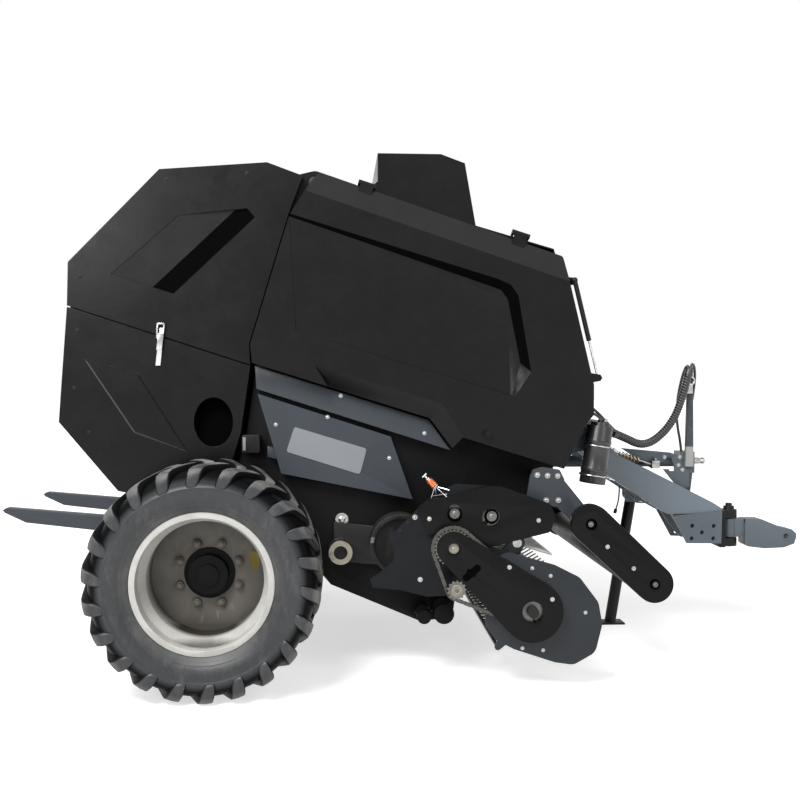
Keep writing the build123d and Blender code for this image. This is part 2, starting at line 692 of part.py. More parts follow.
HANGER_DEPTH = 50.0
HANGER_PLATE = 8.0
UPPER_CASE = [(903, 763), (940, 816), (1204, 878), (1265, 875), (1476, 799), (1500, 745), (1476, 677), (1204, 612),
              (1150, 639), (941, 675)]
SIDE_PLATE = [(800, 675), (942, 815), (1067, 885), (1211, 877), (1190, 640), (1120, 480), (1090, 400), (945, 395),
              (828, 425), (708, 437), (697, 475), (741, 502), (800, 555)]
CASE_SHAFTS = (((1060, 770), 30, 21), ((1218, 745), 40, 28))


def drive_hanger():
    """The upper drive case on its side plate, with its bearings and the shaft that drives the pickup's chain."""
    case_from = -GUARD_HALF + GUARD_SHEET + MOVING_GAP
    plate_from = case_from + HANGER_DEPTH - HANGER_PLATE
    body = slab(UPPER_CASE, case_from, plate_from, corner=22) + slab(SIDE_PLATE, plate_from, plate_from + HANGER_PLATE)
    for place, hole, shaft in CASE_SHAFTS:
        body = body - bar(place, hole, case_from - 1, case_from + 18) + bar(place, shaft, case_from + 2, plate_from)
        body = body + bar(place, 36, plate_from, -CHAMBER_HALF - WALL - SEAT_GAP)
    body = body + bar(PICKUP_PIVOT, REEL_SHAFT - 2, -GUARD_HALF - SEAT_GAP - CHAIN_CASE_DEPTH, plate_from + 1)
    return body + sprocket(PICKUP_PIVOT, SPROCKETS[0][1])


# Pickup

GUARD_SIDE = [
    (1249, 608), (1493, 538), (1602, 483), (1684, 374), (1701, 279), (1671, 157), (1576, 104), (1494, 116),
    (1317, 175), (1236, 217), (1188, 285),
]


def pickup_guard():
    guard = slab(GUARD_SIDE, -GUARD_HALF, -GUARD_HALF + GUARD_SHEET, corner=55)
    for rail, inside, ear in ((BAND_RAIL_TOP, (1260, 470), 16), (BAND_RAIL_LOW, (1290, 240), 14)):
        guard = guard + link(inside, rail, 30, ear, -GUARD_HALF, -GUARD_HALF + GUARD_SHEET)
    guard = guard - bar(REEL_AXIS, REEL_SHAFT + SEAT_GAP, -GUARD_HALF - 5, -GUARD_HALF + 20)
    return guard


def chain_case():
    """The pan over the chain from the pickup's pivot to the reel shaft, with the chain's idler on its arm."""
    face = -GUARD_HALF - SEAT_GAP - CHAIN_CASE_DEPTH
    idler, teeth = SPROCKETS[1]
    case = link(REEL_AXIS, PICKUP_PIVOT, 132, 73, face, face + SHEET)
    wall = link(REEL_AXIS, PICKUP_PIVOT, 132, 73, face, -GUARD_HALF - SEAT_GAP)
    wall = wall - link(REEL_AXIS, PICKUP_PIVOT, 132 - SHEET, 73 - SHEET, face - 1, face + 2 * CHAIN_CASE_DEPTH)
    front = slab([(1275, 0), (1600, 0), (1600, 700), (1275, 700)], face, -GUARD_HALF - SEAT_GAP)
    case = case + (wall & front)
    case = case - bar(REEL_AXIS, REEL_SHAFT + 21, face - 1, face + SHEET + 1)
    case = case - bar(PICKUP_PIVOT, REEL_SHAFT + 4, face - 1, face + SHEET + 1)
    case = case - link((1116, 522), (1136, 508), 12, 12, face - 1, face + SHEET + 1)
    arm = link(idler, (1160, 500), 20, 24, face + SHEET - 0.5, face + SHEET + 6)
    stud = bar(idler, 11, face + SHEET, face + CHAIN_DEPTH + 8)
    return case + arm + stud + sprocket(idler, teeth)


def pitch_radius(teeth):
    return CHAIN_PITCH / (2 * math.sin(math.pi / teeth))


def sprocket(centre, teeth):
    """A toothed disc whose tips run just under the chain's links."""
    middle = -GUARD_HALF - SEAT_GAP - CHAIN_CASE_DEPTH + CHAIN_DEPTH
    tip = pitch_radius(teeth) * math.cos(math.pi / teeth) - 0.85 * CHAIN_HALF - SEAT_GAP
    step = 360.0 / teeth
    edge = []
    for index in range(teeth):
        edge += [ring_place(centre, tip, (index - 0.16) * step), ring_place(centre, tip, (index + 0.16) * step)]
        edge += [ring_place(centre, tip - 7, (index + 0.36) * step), ring_place(centre, tip - 7, (index + 0.64) * step)]
    return slab(edge, middle - 3.5, middle + 3.5)


def chain_stations():
    """The pins' places round the three sprockets, evenly spaced along the chain."""
    runs = []
    wheels = [(Vector(x, z), pitch_radius(teeth)) for (x, z), teeth in SPROCKETS]
    outward = []
    for index, (centre, radius) in enumerate(wheels):
        other, other_radius = wheels[(index + 1) % len(wheels)]
        span = (other - centre).length
        ahead = (other - centre).normalized()
        share = (radius - other_radius) / span
        outward.append(Vector(ahead.Y, -ahead.X) * math.sqrt(1 - share * share) + ahead * share)
    path = []
    for index, (centre, radius) in enumerate(wheels):
        first = math.atan2(outward[index - 1].Y, outward[index - 1].X)
        turn = (math.atan2(outward[index].Y, outward[index].X) - first) % (2 * math.pi)
        for part in range(41):
            angle = first + turn * part / 40
            path.append((centre.X + radius * math.cos(angle), centre.Y + radius * math.sin(angle)))
    path.append(path[0])
    lengths = [0.0]
    for start, end in zip(path, path[1:]):
        lengths.append(lengths[-1] + math.dist(start, end))
    count = 2 * round(lengths[-1] / CHAIN_PITCH / 2)
    stations = []
    for index in range(count):
        along = lengths[-1] * index / count
        piece = max(i for i in range(len(path) - 1) if lengths[i] <= along)
        share = (along - lengths[piece]) / (lengths[piece + 1] - lengths[piece])
        stations.append((path[piece][0] + share * (path[piece + 1][0] - path[piece][0]),
                         path[piece][1] + share * (path[piece + 1][1] - path[piece][1])))
    return stations


def pickup_chain():
    """The roller chain: inner links as blocks, with a pair of plates over every second link."""
    middle = -GUARD_HALF - SEAT_GAP - CHAIN_CASE_DEPTH + CHAIN_DEPTH
    stations = chain_stations()
    links = []
    for index, (x0, z0) in enumerate(stations):
        x1, z1 = stations[(index + 1) % len(stations)]
        place = Pos((x0 + x1) / 2, middle, (z0 + z1) / 2) * Rot(0, -math.degrees(math.atan2(z1 - z0, x1 - x0)), 0)
        length = math.dist((x0, z0), (x1, z1))
        if index % 2:
            links.append(place * Box(length + 9, LINK_GAP, 1.7 * CHAIN_HALF))
            continue
        for side in (1, -1):
            shift = Pos(0, side * (LINK_GAP + LINK_PLATE - 0.4) / 2, 0)
            links.append(place * shift * Box(length + 11, LINK_PLATE, 2 * CHAIN_HALF))
    return Part() + links


def pickup_frame():
    """The side arms that hang the pickup on its pivots, with their spacers to the guards."""
    inner = GUARD_HALF - GUARD_SHEET - HANGER_DEPTH - 2 * MOVING_GAP
    body = []
    for side in (1, -1):
        arm_face = side * (inner - ARM_SHEET)
        arm = link(PICKUP_PIVOT, PICKUP_ARM_END, 52, 40, arm_face, side * inner)
        arm = arm + link(PICKUP_ARM_END, COMB_TUBE, 40, 34, arm_face, side * inner)
        arm = arm - bar(PICKUP_PIVOT, PIVOT_PIN + SEAT_GAP, arm_face - side * 5, side * (inner + 5))
        arm = arm - bar(COMB_TUBE, COMB_RADIUS + SEAT_GAP, arm_face - side * 5, side * (inner + 5))
        spacer_end = side * (GUARD_HALF - GUARD_SHEET - SEAT_GAP)
        arm = arm + bar(PICKUP_ARM_END, 26, side * inner, spacer_end)
        body.append(arm)
    return Compound(children=body)


def pickup_pivots():
    """The stub tubes on the frame's sides that the pickup hangs on."""
    inner = GUARD_HALF - GUARD_SHEET - HANGER_DEPTH - 2 * MOVING_GAP
    stub = bar(PICKUP_PIVOT, PIVOT_PIN, -inner, -CHAMBER_HALF - WALL - SEAT_GAP)
    flange = bar(PICKUP_PIVOT, 62, -CHAMBER_HALF - WALL - 20, -CHAMBER_HALF - WALL - SEAT_GAP)
    return stub + flange


def comb():
    """The row of flat fingers on a tube above the reel."""
    inner = GUARD_HALF - GUARD_SHEET - HANGER_DEPTH - 2 * MOVING_GAP
    fingers = bar(COMB_TUBE, COMB_RADIUS, -inner, inner)
    (x, z) = COMB_TUBE
    profile = [(x - 6, z + 12), (x + 158, z - 50), (x + 162, z - 62), (x - 6, z - 10)]
    first = -inner + ARM_SHEET + 20
    for index in range(COMB_COUNT):
        y = first - 2 * first * index / (COMB_COUNT - 1)
        fingers = fingers + slab(profile, y - COMB_SHEET / 2, y + COMB_SHEET / 2)
    return fingers


def strip_bands():
    """The U-shaped bands that the reel's tines pass between, joined by a rail at each end."""
    pitch = 2 * REEL_HALF / BAND_COUNT
    x, z = REEL_AXIS
    rail_end = GUARD_HALF - GUARD_SHEET - SEAT_GAP
    body = bar(BAND_RAIL_TOP, BAND_RAIL, -rail_end, rail_end) + bar(BAND_RAIL_LOW, BAND_RAIL, -rail_end, rail_end)
    for index in range(BAND_COUNT):
        y_from = -REEL_HALF + (index + 0.5) * pitch - BAND_WIDTH / 2
        y_to = y_from + BAND_WIDTH
        ring = bar(REEL_AXIS, BAND_RADIUS, y_from, y_to)
        ring = ring - bar(REEL_AXIS, BAND_RADIUS - BAND_THICKNESS, y_from - 1, y_to + 1)
        back = [(x - 400, z - 400), (x, z - 400), (x, z + 400), (x - 400, z + 400)]
        ring = ring - slab(back, y_from - 1, y_to + 1)
        top = [(x, z + BAND_RADIUS), BAND_RAIL_TOP, (BAND_RAIL_TOP[0], BAND_RAIL_TOP[1] - BAND_THICKNESS),
               (x, z + BAND_RADIUS - BAND_THICKNESS)]
        low = [(x, z - BAND_RADIUS), BAND_RAIL_LOW, (BAND_RAIL_LOW[0], BAND_RAIL_LOW[1] + BAND_THICKNESS),
               (x, z - BAND_RADIUS + BAND_THICKNESS)]
        body = body + ring + slab(top, y_from, y_to) + slab(low, y_from, y_to)
    return body


def reel():
    shaft = bar(REEL_AXIS, REEL_SHAFT, -GUARD_HALF - 70, GUARD_HALF + 14)
    body = shaft + sprocket(*SPROCKETS[2])
    for y in (-REEL_HALF + 10, 0, REEL_HALF - 10):
        body = body + bar(REEL_AXIS, TINE_BAR_CIRCLE + 20, y - 5, y + 5)
    pitch = 2 * REEL_HALF / BAND_COUNT
    for bar_index in range(TINE_BARS):
        degrees = 45 + bar_index * 360 / TINE_BARS
        place = ring_place(REEL_AXIS, TINE_BAR_CIRCLE, degrees)
        body = body + bar(place, TINE_BAR_RADIUS, -REEL_HALF + 4, REEL_HALF - 4)
        tip = ring_place(REEL_AXIS, TINE_REACH, degrees - 8)
        for index in range(1, BAND_COUNT):
            y = -REEL_HALF + index * pitch
            if abs(y) < 8:
                continue
            body = body + tine(place, tip, y)
    return body


def tine(root, tip, y):
    along = Vector(tip[0] - root[0], 0, tip[1] - root[1])
    side = Vector(along.Z, 0, -along.X).normalized() * TINE_RADIUS
    base = Vector(root[0], y, root[1])
    corners = [base - side, base + side, base + along + side * 0.5, base + along - side * 0.5]
    return extrude(make_face(Polyline(*corners, close=True)), amount=TINE_RADIUS, both=True, dir=(0, 1, 0))


# Crop roller


def crop_arms():
    arm = link(CROP_PIVOT, CROP_AXIS, *CROP_ARM_ENDS, -GUARD_HALF, -GUARD_HALF + CROP_ARM_DEPTH)
    hole = bar(CROP_AXIS, 21, -GUARD_HALF - 1, -GUARD_HALF + CROP_ARM_DEPTH + 1)
    pivot_hole = bar(CROP_PIVOT, CROP_PIN + SEAT_GAP, -GUARD_HALF - 1, -GUARD_HALF + CROP_ARM_DEPTH + 1)
    arm = arm - hole - pivot_hole
    tie = bar((1800, 640), 24, -GUARD_HALF + CROP_ARM_DEPTH - 1, GUARD_HALF - CROP_ARM_DEPTH + 1)
    return arm + to_left(arm) + tie


def crop_roller():
    drum = bar(CROP_AXIS, CROP_ROLLER_RADIUS, -CROP_ROLLER_HALF, CROP_ROLLER_HALF)
    shaft = bar(CROP_AXIS, 21 - SEAT_GAP, -GUARD_HALF, GUARD_HALF)
    return drum + shaft


def crop_hanger():
    """The bolted hanger on the frame that carries one arm of the crop roller."""
    outside = -GUARD_HALF
    plate_from = -HANGER_Y - HANGER_SHEET
    outline = [(1411, 905), (1425, 937), (1467, 948), (1545, 936), (1566, 894), (1573, 790), (1524, 769), (1398, 819)]
    plate = slab(outline, plate_from, -HANGER_Y, corner=10)
    plate = plate + link((1530, 850), CROP_PIVOT, 52, 44, plate_from, -HANGER_Y)
    pin = bar(CROP_PIVOT, CROP_PIN, outside, -HANGER_Y)
    tube = bar(HANGER_TUBE, 34, -HANGER_Y, -CHAMBER_HALF - WALL - SEAT_GAP)
    return plate + pin + tube


# Drawbar, hitch, drive input and jack


BEAM_SIDE = [
    (1800, 1160), (1995, 948), (2153, 873), (2513, 694), (2560, 664), (2556, 485), (2400, 490), (2340, 560),
    (2290, 640), (2268, 639), (2154, 704), (1920, 857), (1730, 1000), (1730, 1160),
]
CHEEK_SIDE = [(2288, 630), (2560, 652), (2556, 481), (2365, 487)]
CHEEK_HOLES = ((2395, 577), (2514, 573), (2449, 541), (2392, 511), (2511, 508))
BEAM_SLANT = (BEAM_REAR_Y - BEAM_FRONT_Y) / 620.0


def beam_middle(x):
    """How far the slanted beam's middle lies from the machine's middle."""
    return BEAM_FRONT_Y + (2600 - x) * BEAM_SLANT


def beam_strip(inner, outer):
    """An upright slice along the right beam, between two distances from the beam's own middle."""
    corners = [(x, -beam_middle(x) - shift) for x, shift in ((1650, inner), (2600, inner), (2600, outer), (1650, outer))]
    return extrude(make_face(Polyline(*[(x, y, 0) for x, y in corners], close=True)), amount=1500, dir=(0, 0, 1))


def drawbar_beam():
    """The right beam with the bolted cheek plate on its outer face at the nose."""
    beam = slab(BEAM_SIDE, -400, 0) & beam_strip(-BEAM_WIDTH / 2, BEAM_WIDTH / 2)
    cheek = slab(CHEEK_SIDE, -400, 0) & beam_strip(BEAM_WIDTH / 2 - 1, BEAM_WIDTH / 2 + 10)
    for x, z in CHEEK_HOLES:
        face = beam_middle(x) + BEAM_WIDTH / 2 + 10
        cheek = cheek - bar((x, z), 11, -face - 8, -face + 30)
        beam = beam - bar((x, z), 11, -face - 8, -face + 30)
    return beam + cheek


def drawbar():
    beam = drawbar_beam()
    nose_front = SWIVEL_X - 73 - SEAT_GAP
    nose = Pos(nose_front - 35, 0, 575) * Box(70, 2 * BEAM_FRONT_Y, 150)
    shelf = Pos(2375, 0, 697) * Box(90, 2 * BEAM_FRONT_Y + 40, 16)
    cross = Pos(1775, 0, 1080) * Box(90, 2 * CHAMBER_HALF - 100, 120)
    body = beam + to_left(beam) + nose + cross + shelf + jack_bracket()
    for side in (1, -1):
        frame_arm = slab(
            [(1560, 1100), (1780, 1140), (1780, 1020), (1500, 960)],
            side * (CHAMBER_HALF - 60), side * (CHAMBER_HALF - SEAT_GAP),
        )
        body = body + frame_arm
    return body


def swivel_block():
    """The head bolted between the drawbar's cheeks, with its jaws, upright pin and castle nut."""
    low = SWIVEL_LOW
    high = SWIVEL_HIGH
    middle = (low + high) / 2
    tall = high - low
    back = Pos(SWIVEL_X - 58, 0, middle) * Box(30, 2 * BEAM_FRONT_Y, tall)
    jaw = Pos(SWIVEL_X, 0, middle) * Cylinder(42, tall) + Pos(SWIVEL_X - 24, 0, middle) * Box(48, 84, tall)
    slot = Pos(SWIVEL_X + 10, 0, middle) * Box(106, 120, TONGUE_ROOT + MOVING_GAP)
    pin = Pos(SWIVEL_X, 0, middle + 14) * Cylinder(SWIVEL_RADIUS, tall + 38)
    nut = Pos(SWIVEL_X, 0, high + 9) * Cylinder(28, 18)
    return back + (jaw - slot) + pin + nut


def hitch_tongue():
    """The yoke on the upright pin: a root block, then two cheeks with the hitch pin's bore."""
    middle = (SWIVEL_LOW + SWIVEL_HIGH) / 2
    root = Pos(SWIVEL_X, 0, middle) * Cylinder(38, TONGUE_ROOT)
    root = root + Pos(SWIVEL_X + 45, 0, middle) * Box(90, 60, TONGUE_ROOT)
    outline = [(SWIVEL_X + 72, 598), (2797, 597), (2906, 553), (2961, 542), (2985, 520), (HITCH_REACH, 500),
               (2974, 466), (2918, 446), (2815, 442), (2725, 453), (SWIVEL_X + 72, 464)]
    yoke = slab(outline, -TONGUE_HALF, TONGUE_HALF)
    gap = slab([(SWIVEL_X + 90, 400), (SWIVEL_X + 90, 588), (2797, 586), (3000, 500), (3000, 400)],
               -TONGUE_HALF + CHEEK, TONGUE_HALF - CHEEK)
    bush = bar((EYE_X, EYE_Z), EYE_HOLE + 8, -TONGUE_HALF - 3, TONGUE_HALF + 3)
    bush = bush - bar((EYE_X, EYE_Z), 60, -TONGUE_HALF + CHEEK, TONGUE_HALF - CHEEK)
    eye = bar((EYE_X, EYE_Z), EYE_HOLE, -2 * TONGUE_HALF, 2 * TONGUE_HALF)
    bore = Pos(SWIVEL_X, 0, EYE_Z) * Cylinder(SWIVEL_RADIUS + SEAT_GAP, 400)
    return (yoke - gap) + root + bush - eye - bore


ARM_PLATE = [(2037, 978), (2303, 953), (2395, 916), (2396, 854), (2321, 846), (2290, 920), (2204, 868)]
ARM_SLOT = [(2275, 938), (2303, 938), (2327, 856), (2299, 856)]
ARM_FIN = [(2262, 866), (2330, 864), (2404, 850), (2404, 771), (2354, 755), (2312, 805)]


def pto_box():
    """The drive input box on its stand, with the shaft tube behind it and the bracket plate on its side."""
    box = Pos(2394, 0, 901) * Box(76, 120, 112)
    stand = slab([(2335, 705.3), (2415, 705.3), (2432, 845), (2356, 845)], -30, 30)
    rear = bar_x(1650, 2356, 0, PTO_AXIS_Z, 30)
    plate = slab(ARM_PLATE, -60, -52) + slab(ARM_FIN, -60, -52) - slab(ARM_SLOT, -61, -51)
    return box + stand + rear + plate - bar_x(2380, 2440, 0, PTO_AXIS_Z, PTO_JOURNAL + SEAT_GAP)


def bar_x(x_from, x_to, y, z, radius):
    return Pos((x_from + x_to) / 2, y, z) * Rot(0, 90, 0) * Cylinder(radius, x_to - x_from)


def pto_stub():
    """The splined shaft end, with the thicker journal that turns in the box."""
    journal = bar_x(2385, PTO_SHOULDER_X, 0, PTO_AXIS_Z, PTO_JOURNAL)
    return journal + bar_x(PTO_SHOULDER_X, PTO_TIP_X, 0, PTO_AXIS_Z, PTO_RADIUS)


def hose_post():
    """The upright that holds the hoses' end, seated on the side of the drive input box."""
    return slab([(2374, 880), (2418, 880), (2412, 1400), (2388, 1400)], -88, -60.3)


LOOM_ROUTE = [(1820.3, -300, 1090), (1880, -300, 1090), (1990, -262, 1050), (2121, -205, 991), (2247, -165, 1069),
              (2335, -130, 1201), (2385, -110.5, 1386)]


def hose_loom():
    """The bundle of hydraulic hoses from the drawbar's head to the post."""
    line = FilletPolyline(*LOOM_ROUTE, radius=[30.0] + [88.0] * (len(LOOM_ROUTE) - 3))
    start = Plane(origin=line @ 0, z_dir=line % 0)
    return sweep(start * Circle(22), path=line)


def canister():
    """The upright oil canister seated against the drawbar's side arm."""
    place = Pos(1755, -CHAMBER_HALF - CANISTER_RADIUS - CANISTER_BAND, 990) * Rot(0, 8, 0)
    body = place * Cylinder(CANISTER_RADIUS, 270) + place * Pos(0, 0, 140) * Cylinder(45, 20)
    for height in (-70, 60):
        body = body + place * Pos(0, 0, height) * Cylinder(CANISTER_RADIUS + CANISTER_BAND, 18)
    return body + place * Pos(0, 0, 156) * Cylinder(14, 14)


def jack_axis():
    return (Vector(JACK_TOP[0], JACK_Y, JACK_TOP[1]), Vector(JACK_FOOT[0], JACK_Y, JACK_FOOT[1]))


def jack():
    top, foot = jack_axis()
    leg = tube_between(top, foot + Vector(0, 0, 8), JACK_TUBE)
    plate = Pos(foot + Vector(0, 0, 4)) * Box(140, 110, 8)
    trim = Pos(foot - Vector(0, 0, 50)) * Box(300, 300, 100)
    head = bar(JACK_TOP, 45, JACK_Y - 30, JACK_Y + 30)
    bore = bar(JACK_TOP, 16 + SEAT_GAP, JACK_Y - 31, JACK_Y + 31)
    return leg + plate + head - bore - trim


def jack_bracket():
    """The jack's hinge pin and plate on the left beam."""
    pin = bar(JACK_TOP, 16, 110, JACK_Y + 30)
    plate = slab([(2110, 830), (2200, 790), (2215, 672), (2120, 672)], 145, 169)
    return pin + plate


def bale_forks():
    width, height = FORK_SECTION
    tip = (-FORK_REACH, 716)
    side_profile = [(-190, 648), (-585, 683), (-1025, 722), (-1040, 712), (-1030, 700), (-930, 652),
                    (-585, 683 - height), (-190, 648 - height)]
    fork = slab(side_profile, -FORK_Y - width / 2, -FORK_Y + width / 2)
    tube = bar(FORK_HINGE, 36, -FORK_TUBE_HALF, FORK_TUBE_HALF)
    tube = tube - bar(FORK_HINGE, FORK_PIN + SEAT_GAP, -FORK_TUBE_HALF - 5, -FORK_TUBE_HALF + 45)
    tube = tube - bar(FORK_HINGE, FORK_PIN + SEAT_GAP, FORK_TUBE_HALF - 45, FORK_TUBE_HALF + 5)
    return fork + to_left(fork) + tube


def save(name, shape):
    moved = Pos(ORIGIN_SHIFT, 0, 0) * shape
    moved.label = name
    export_step(moved, "parts/" + name + ".step")


def save_both(name, shape):
    """Writes the right piece and its mirror image in one node."""
    save(name, Compound(children=[shape, to_left(shape)]))


def save_pair(name, shape):
    save(name + "_right", shape)
    save(name + "_left", to_left(shape))


os.makedirs("parts", exist_ok=True)
save_pair("tyre", tyre())
save_pair("rim", wheel_disc_holes(rim()))
save_pair("hub", hub())
save("axle", axle())
save_both("fork_hinge_arms", fork_hinge_arm())
save_both("frame_sides", frame_side())
save("front_hood", front_hood())
save("feed_floor", feed_floor())
save("chamber_rollers", Compound(children=[chamber_roller(a) for a in FRONT_ROLLER_ANGLES]))
save("top_box", top_box())
save("tailgate_shell", tailgate_shell())
save("tailgate_hinge_tube", hinge_tube())
save("tailgate_rollers", Compound(children=[chamber_roller(a) for a in REAR_ROLLER_ANGLES]))
save_both("tailgate_covers_upper", tailgate_cover(True))
save_both("tailgate_covers_lower", tailgate_cover(False))
save_both("cover_latches", latch())
save_pair("side_door", door())
save_pair("door_strut_tube", strut_tube())
save_pair("door_strut_rod", strut_rod())
save_both("shields_upper", shield_upper())
save_both("shields_lower", shield_lower())
save_both("side_lamps", side_lamp())
save("drive_case", drive_case())
save("cross_tubes", cross_tubes())
save_both("pickup_pivots", pickup_pivots())
save("drive_hanger", drive_hanger())
save_both("pickup_guards", pickup_guard())
save("pickup_chain_case", chain_case())
save("pickup_chain", pickup_chain())
save("pickup_frame", pickup_frame())
save("finger_comb", comb())
save("reel_bands", Compound(children=strip_bands()))
save("pickup_reel", reel())
save("crop_arms", crop_arms())
save("crop_roller", crop_roller())
save_both("crop_hangers", crop_hanger())
save("drawbar", drawbar())
save("swivel_block", swivel_block())
save("hitch_tongue", hitch_tongue())
save("pto_box", pto_box())
save("pto_stub", pto_stub())
save("hose_post", hose_post())
save("hose_loom", hose_loom())
save("oil_canister", canister())
save("parking_jack", jack())
save("bale_forks", bale_forks())
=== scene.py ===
import json
import math

import bmesh
import bpy
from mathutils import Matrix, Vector
from mathutils.bvhtree import BVHTree


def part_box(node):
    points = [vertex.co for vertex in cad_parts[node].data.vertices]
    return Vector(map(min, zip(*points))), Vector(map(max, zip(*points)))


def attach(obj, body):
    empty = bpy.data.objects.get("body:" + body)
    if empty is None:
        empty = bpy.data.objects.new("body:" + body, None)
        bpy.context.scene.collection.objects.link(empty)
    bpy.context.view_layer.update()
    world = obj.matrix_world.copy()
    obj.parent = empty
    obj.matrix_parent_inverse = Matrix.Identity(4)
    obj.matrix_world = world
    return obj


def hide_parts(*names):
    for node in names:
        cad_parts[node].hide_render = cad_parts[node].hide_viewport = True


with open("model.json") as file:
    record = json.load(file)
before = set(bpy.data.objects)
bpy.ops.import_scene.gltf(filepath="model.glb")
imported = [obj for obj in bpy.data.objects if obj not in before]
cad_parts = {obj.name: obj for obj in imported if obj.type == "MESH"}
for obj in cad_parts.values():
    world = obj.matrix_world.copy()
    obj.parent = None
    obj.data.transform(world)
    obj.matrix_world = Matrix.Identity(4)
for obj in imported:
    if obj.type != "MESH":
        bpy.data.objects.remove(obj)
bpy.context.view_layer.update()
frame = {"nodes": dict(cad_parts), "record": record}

bl_info = {
    "name": "Round baler finish",
    "version": (1, 0, 0),
    "blender": (4, 5, 0),
    "location": "3D View > Sidebar > Baler",
    "description": "Paint, tyres, fasteners, hoses and the studio for a towed round baler",
    "category": "Object",
}

# Places are given as on the drawings: millimetres forward of the axle, to the left and above the ground.

WHEEL_LOW, WHEEL_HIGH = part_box("tyre_right")
AXLE_X = (WHEEL_LOW.x + WHEEL_HIGH.x) / 2
AXLE_Z = (WHEEL_LOW.z + WHEEL_HIGH.z) / 2
TRACK_Y = abs(WHEEL_LOW.y + WHEEL_HIGH.y) / 2
DISC_Y = TRACK_Y - 0.087  # the outer face of a wheel's disc
BODY_OF = {node: body for body, nodes in frame["record"]["behaviour"]["bodies"].items() for node in nodes}


def place(x, y, z):
    """A drawing place in the scene's metres."""
    return Vector((AXLE_X + x / 1000, y / 1000, z / 1000))


# Properties

COLOUR = {"subtype": "COLOR", "size": 3}
POWER = {"unit": "POWER", "min": 0}


class BALER_PG_paint(bpy.types.PropertyGroup):
    charcoal: bpy.props.FloatVectorProperty(
        name="Charcoal", description="Doors, covers and hood", default=(0.0050, 0.0050, 0.0053), **COLOUR)
    slate: bpy.props.FloatVectorProperty(
        name="Slate", description="Shields and guards", default=(0.034, 0.040, 0.048), **COLOUR)
    drawbar: bpy.props.FloatVectorProperty(
        name="Drawbar grey", description="Drawbar, tongue and drive box", default=(0.098, 0.118, 0.137), **COLOUR)
    cream: bpy.props.FloatVectorProperty(
        name="Rim cream", description="The wheel rims", default=(0.40, 0.395, 0.37), **COLOUR)
    taupe: bpy.props.FloatVectorProperty(
        name="Disc taupe", description="The dusty discs inside the rims", default=(0.115, 0.104, 0.086), **COLOUR)
    rubber: bpy.props.FloatVectorProperty(
        name="Rubber", description="Tyre rubber under the dust", default=(0.0100, 0.0112, 0.0135), **COLOUR)
    dust: bpy.props.FloatVectorProperty(
        name="Dust", description="Dry field dust", default=(0.21, 0.205, 0.19), **COLOUR)


class BALER_PG_sizes(bpy.types.PropertyGroup):
    lug_count: bpy.props.IntProperty(
        name="Tread lugs", description="Lugs on each side of a tyre", default=22, min=8)
    loom_radius: bpy.props.FloatProperty(
        name="Loom radius", description="Outer radius of the ribbed hose sleeve", unit="LENGTH", default=0.021,
        min=0.005)
    loom_pitch: bpy.props.FloatProperty(
        name="Loom pitch", description="Distance between the sleeve's ribs", unit="LENGTH", default=0.0145,
        min=0.004)
    lead_radius: bpy.props.FloatProperty(
        name="Lead radius", description="Radius of the thin hoses at the loom's ends", unit="LENGTH",
        default=0.007, min=0.002)


class BALER_PG_studio(bpy.types.PropertyGroup):
    lens: bpy.props.FloatProperty(name="Lens", description="Focal length", unit="CAMERA", default=49.5, min=10)
    key_power: bpy.props.FloatProperty(
        name="Key light", description="Power of the large overhead light", default=640.0, **POWER)
    fill_power: bpy.props.FloatProperty(
        name="Fill light", description="Power of the light behind the camera", default=110.0, **POWER)
    rear_power: bpy.props.FloatProperty(
        name="Rear softbox", description="Power of the light mirrored in the tailgate", default=60.0, **POWER)
    sky: bpy.props.FloatProperty(
        name="Sky", description="Strength of the even light from all round", default=0.34, min=0)


# Node trees


class Nodes:
    """Fills one node tree, with its nodes laid out in rows."""

    ROW, WIDE, HIGH = 8, 220, 280

    def __init__(self, tree):
        self.tree = tree
        tree.nodes.clear()

    def add(self, kind, inputs=(), **settings):
        """A new node with its fields set; an input takes a value, a socket or a list of sockets."""
        row, column = divmod(len(self.tree.nodes), self.ROW)
        node = self.tree.nodes.new(kind)
        node.location = (column * self.WIDE, -row * self.HIGH)
        for name, value in settings.items():
            setattr(node, name, value)
        for name, value in dict(inputs).items():
            for part in value if isinstance(value, list) else [value]:
                if isinstance(part, bpy.types.NodeSocket):
                    self.tree.links.new(part, node.inputs[name])
                else:
                    node.inputs[name].default_value = part
        return node

    def math(self, operation, a, b=0.0):
        return self.add("ShaderNodeMath", {0: a, 1: b}, operation=operation).outputs[0]

    def vector(self, operation, a, b=(0, 0, 0)):
        return self.add("ShaderNodeVectorMath", {0: a, 1: b}, operation=operation).outputs[0]

    def split(self, vector):
        """The sockets X, Y and Z of a vector."""
        return self.add("ShaderNodeSeparateXYZ", {0: vector}).outputs

    def band(self, value, low, high, to_low=0.0, to_high=1.0):
        """Maps a value's range to another, held inside it."""
        return self.add("ShaderNodeMapRange", {"Value": value, "From Min": low, "From Max": high, "To Min": to_low,
                                               "To Max": to_high}).outputs[0]

    def mix(self, factor, a, b):
        """A blend of two colours, each a plain colour or a socket."""
        a, b = ((*colour, 1) if isinstance(colour, tuple) else colour for colour in (a, b))
        return self.add("ShaderNodeMix", {0: factor, 6: a, 7: b}, data_type="RGBA").outputs[2]


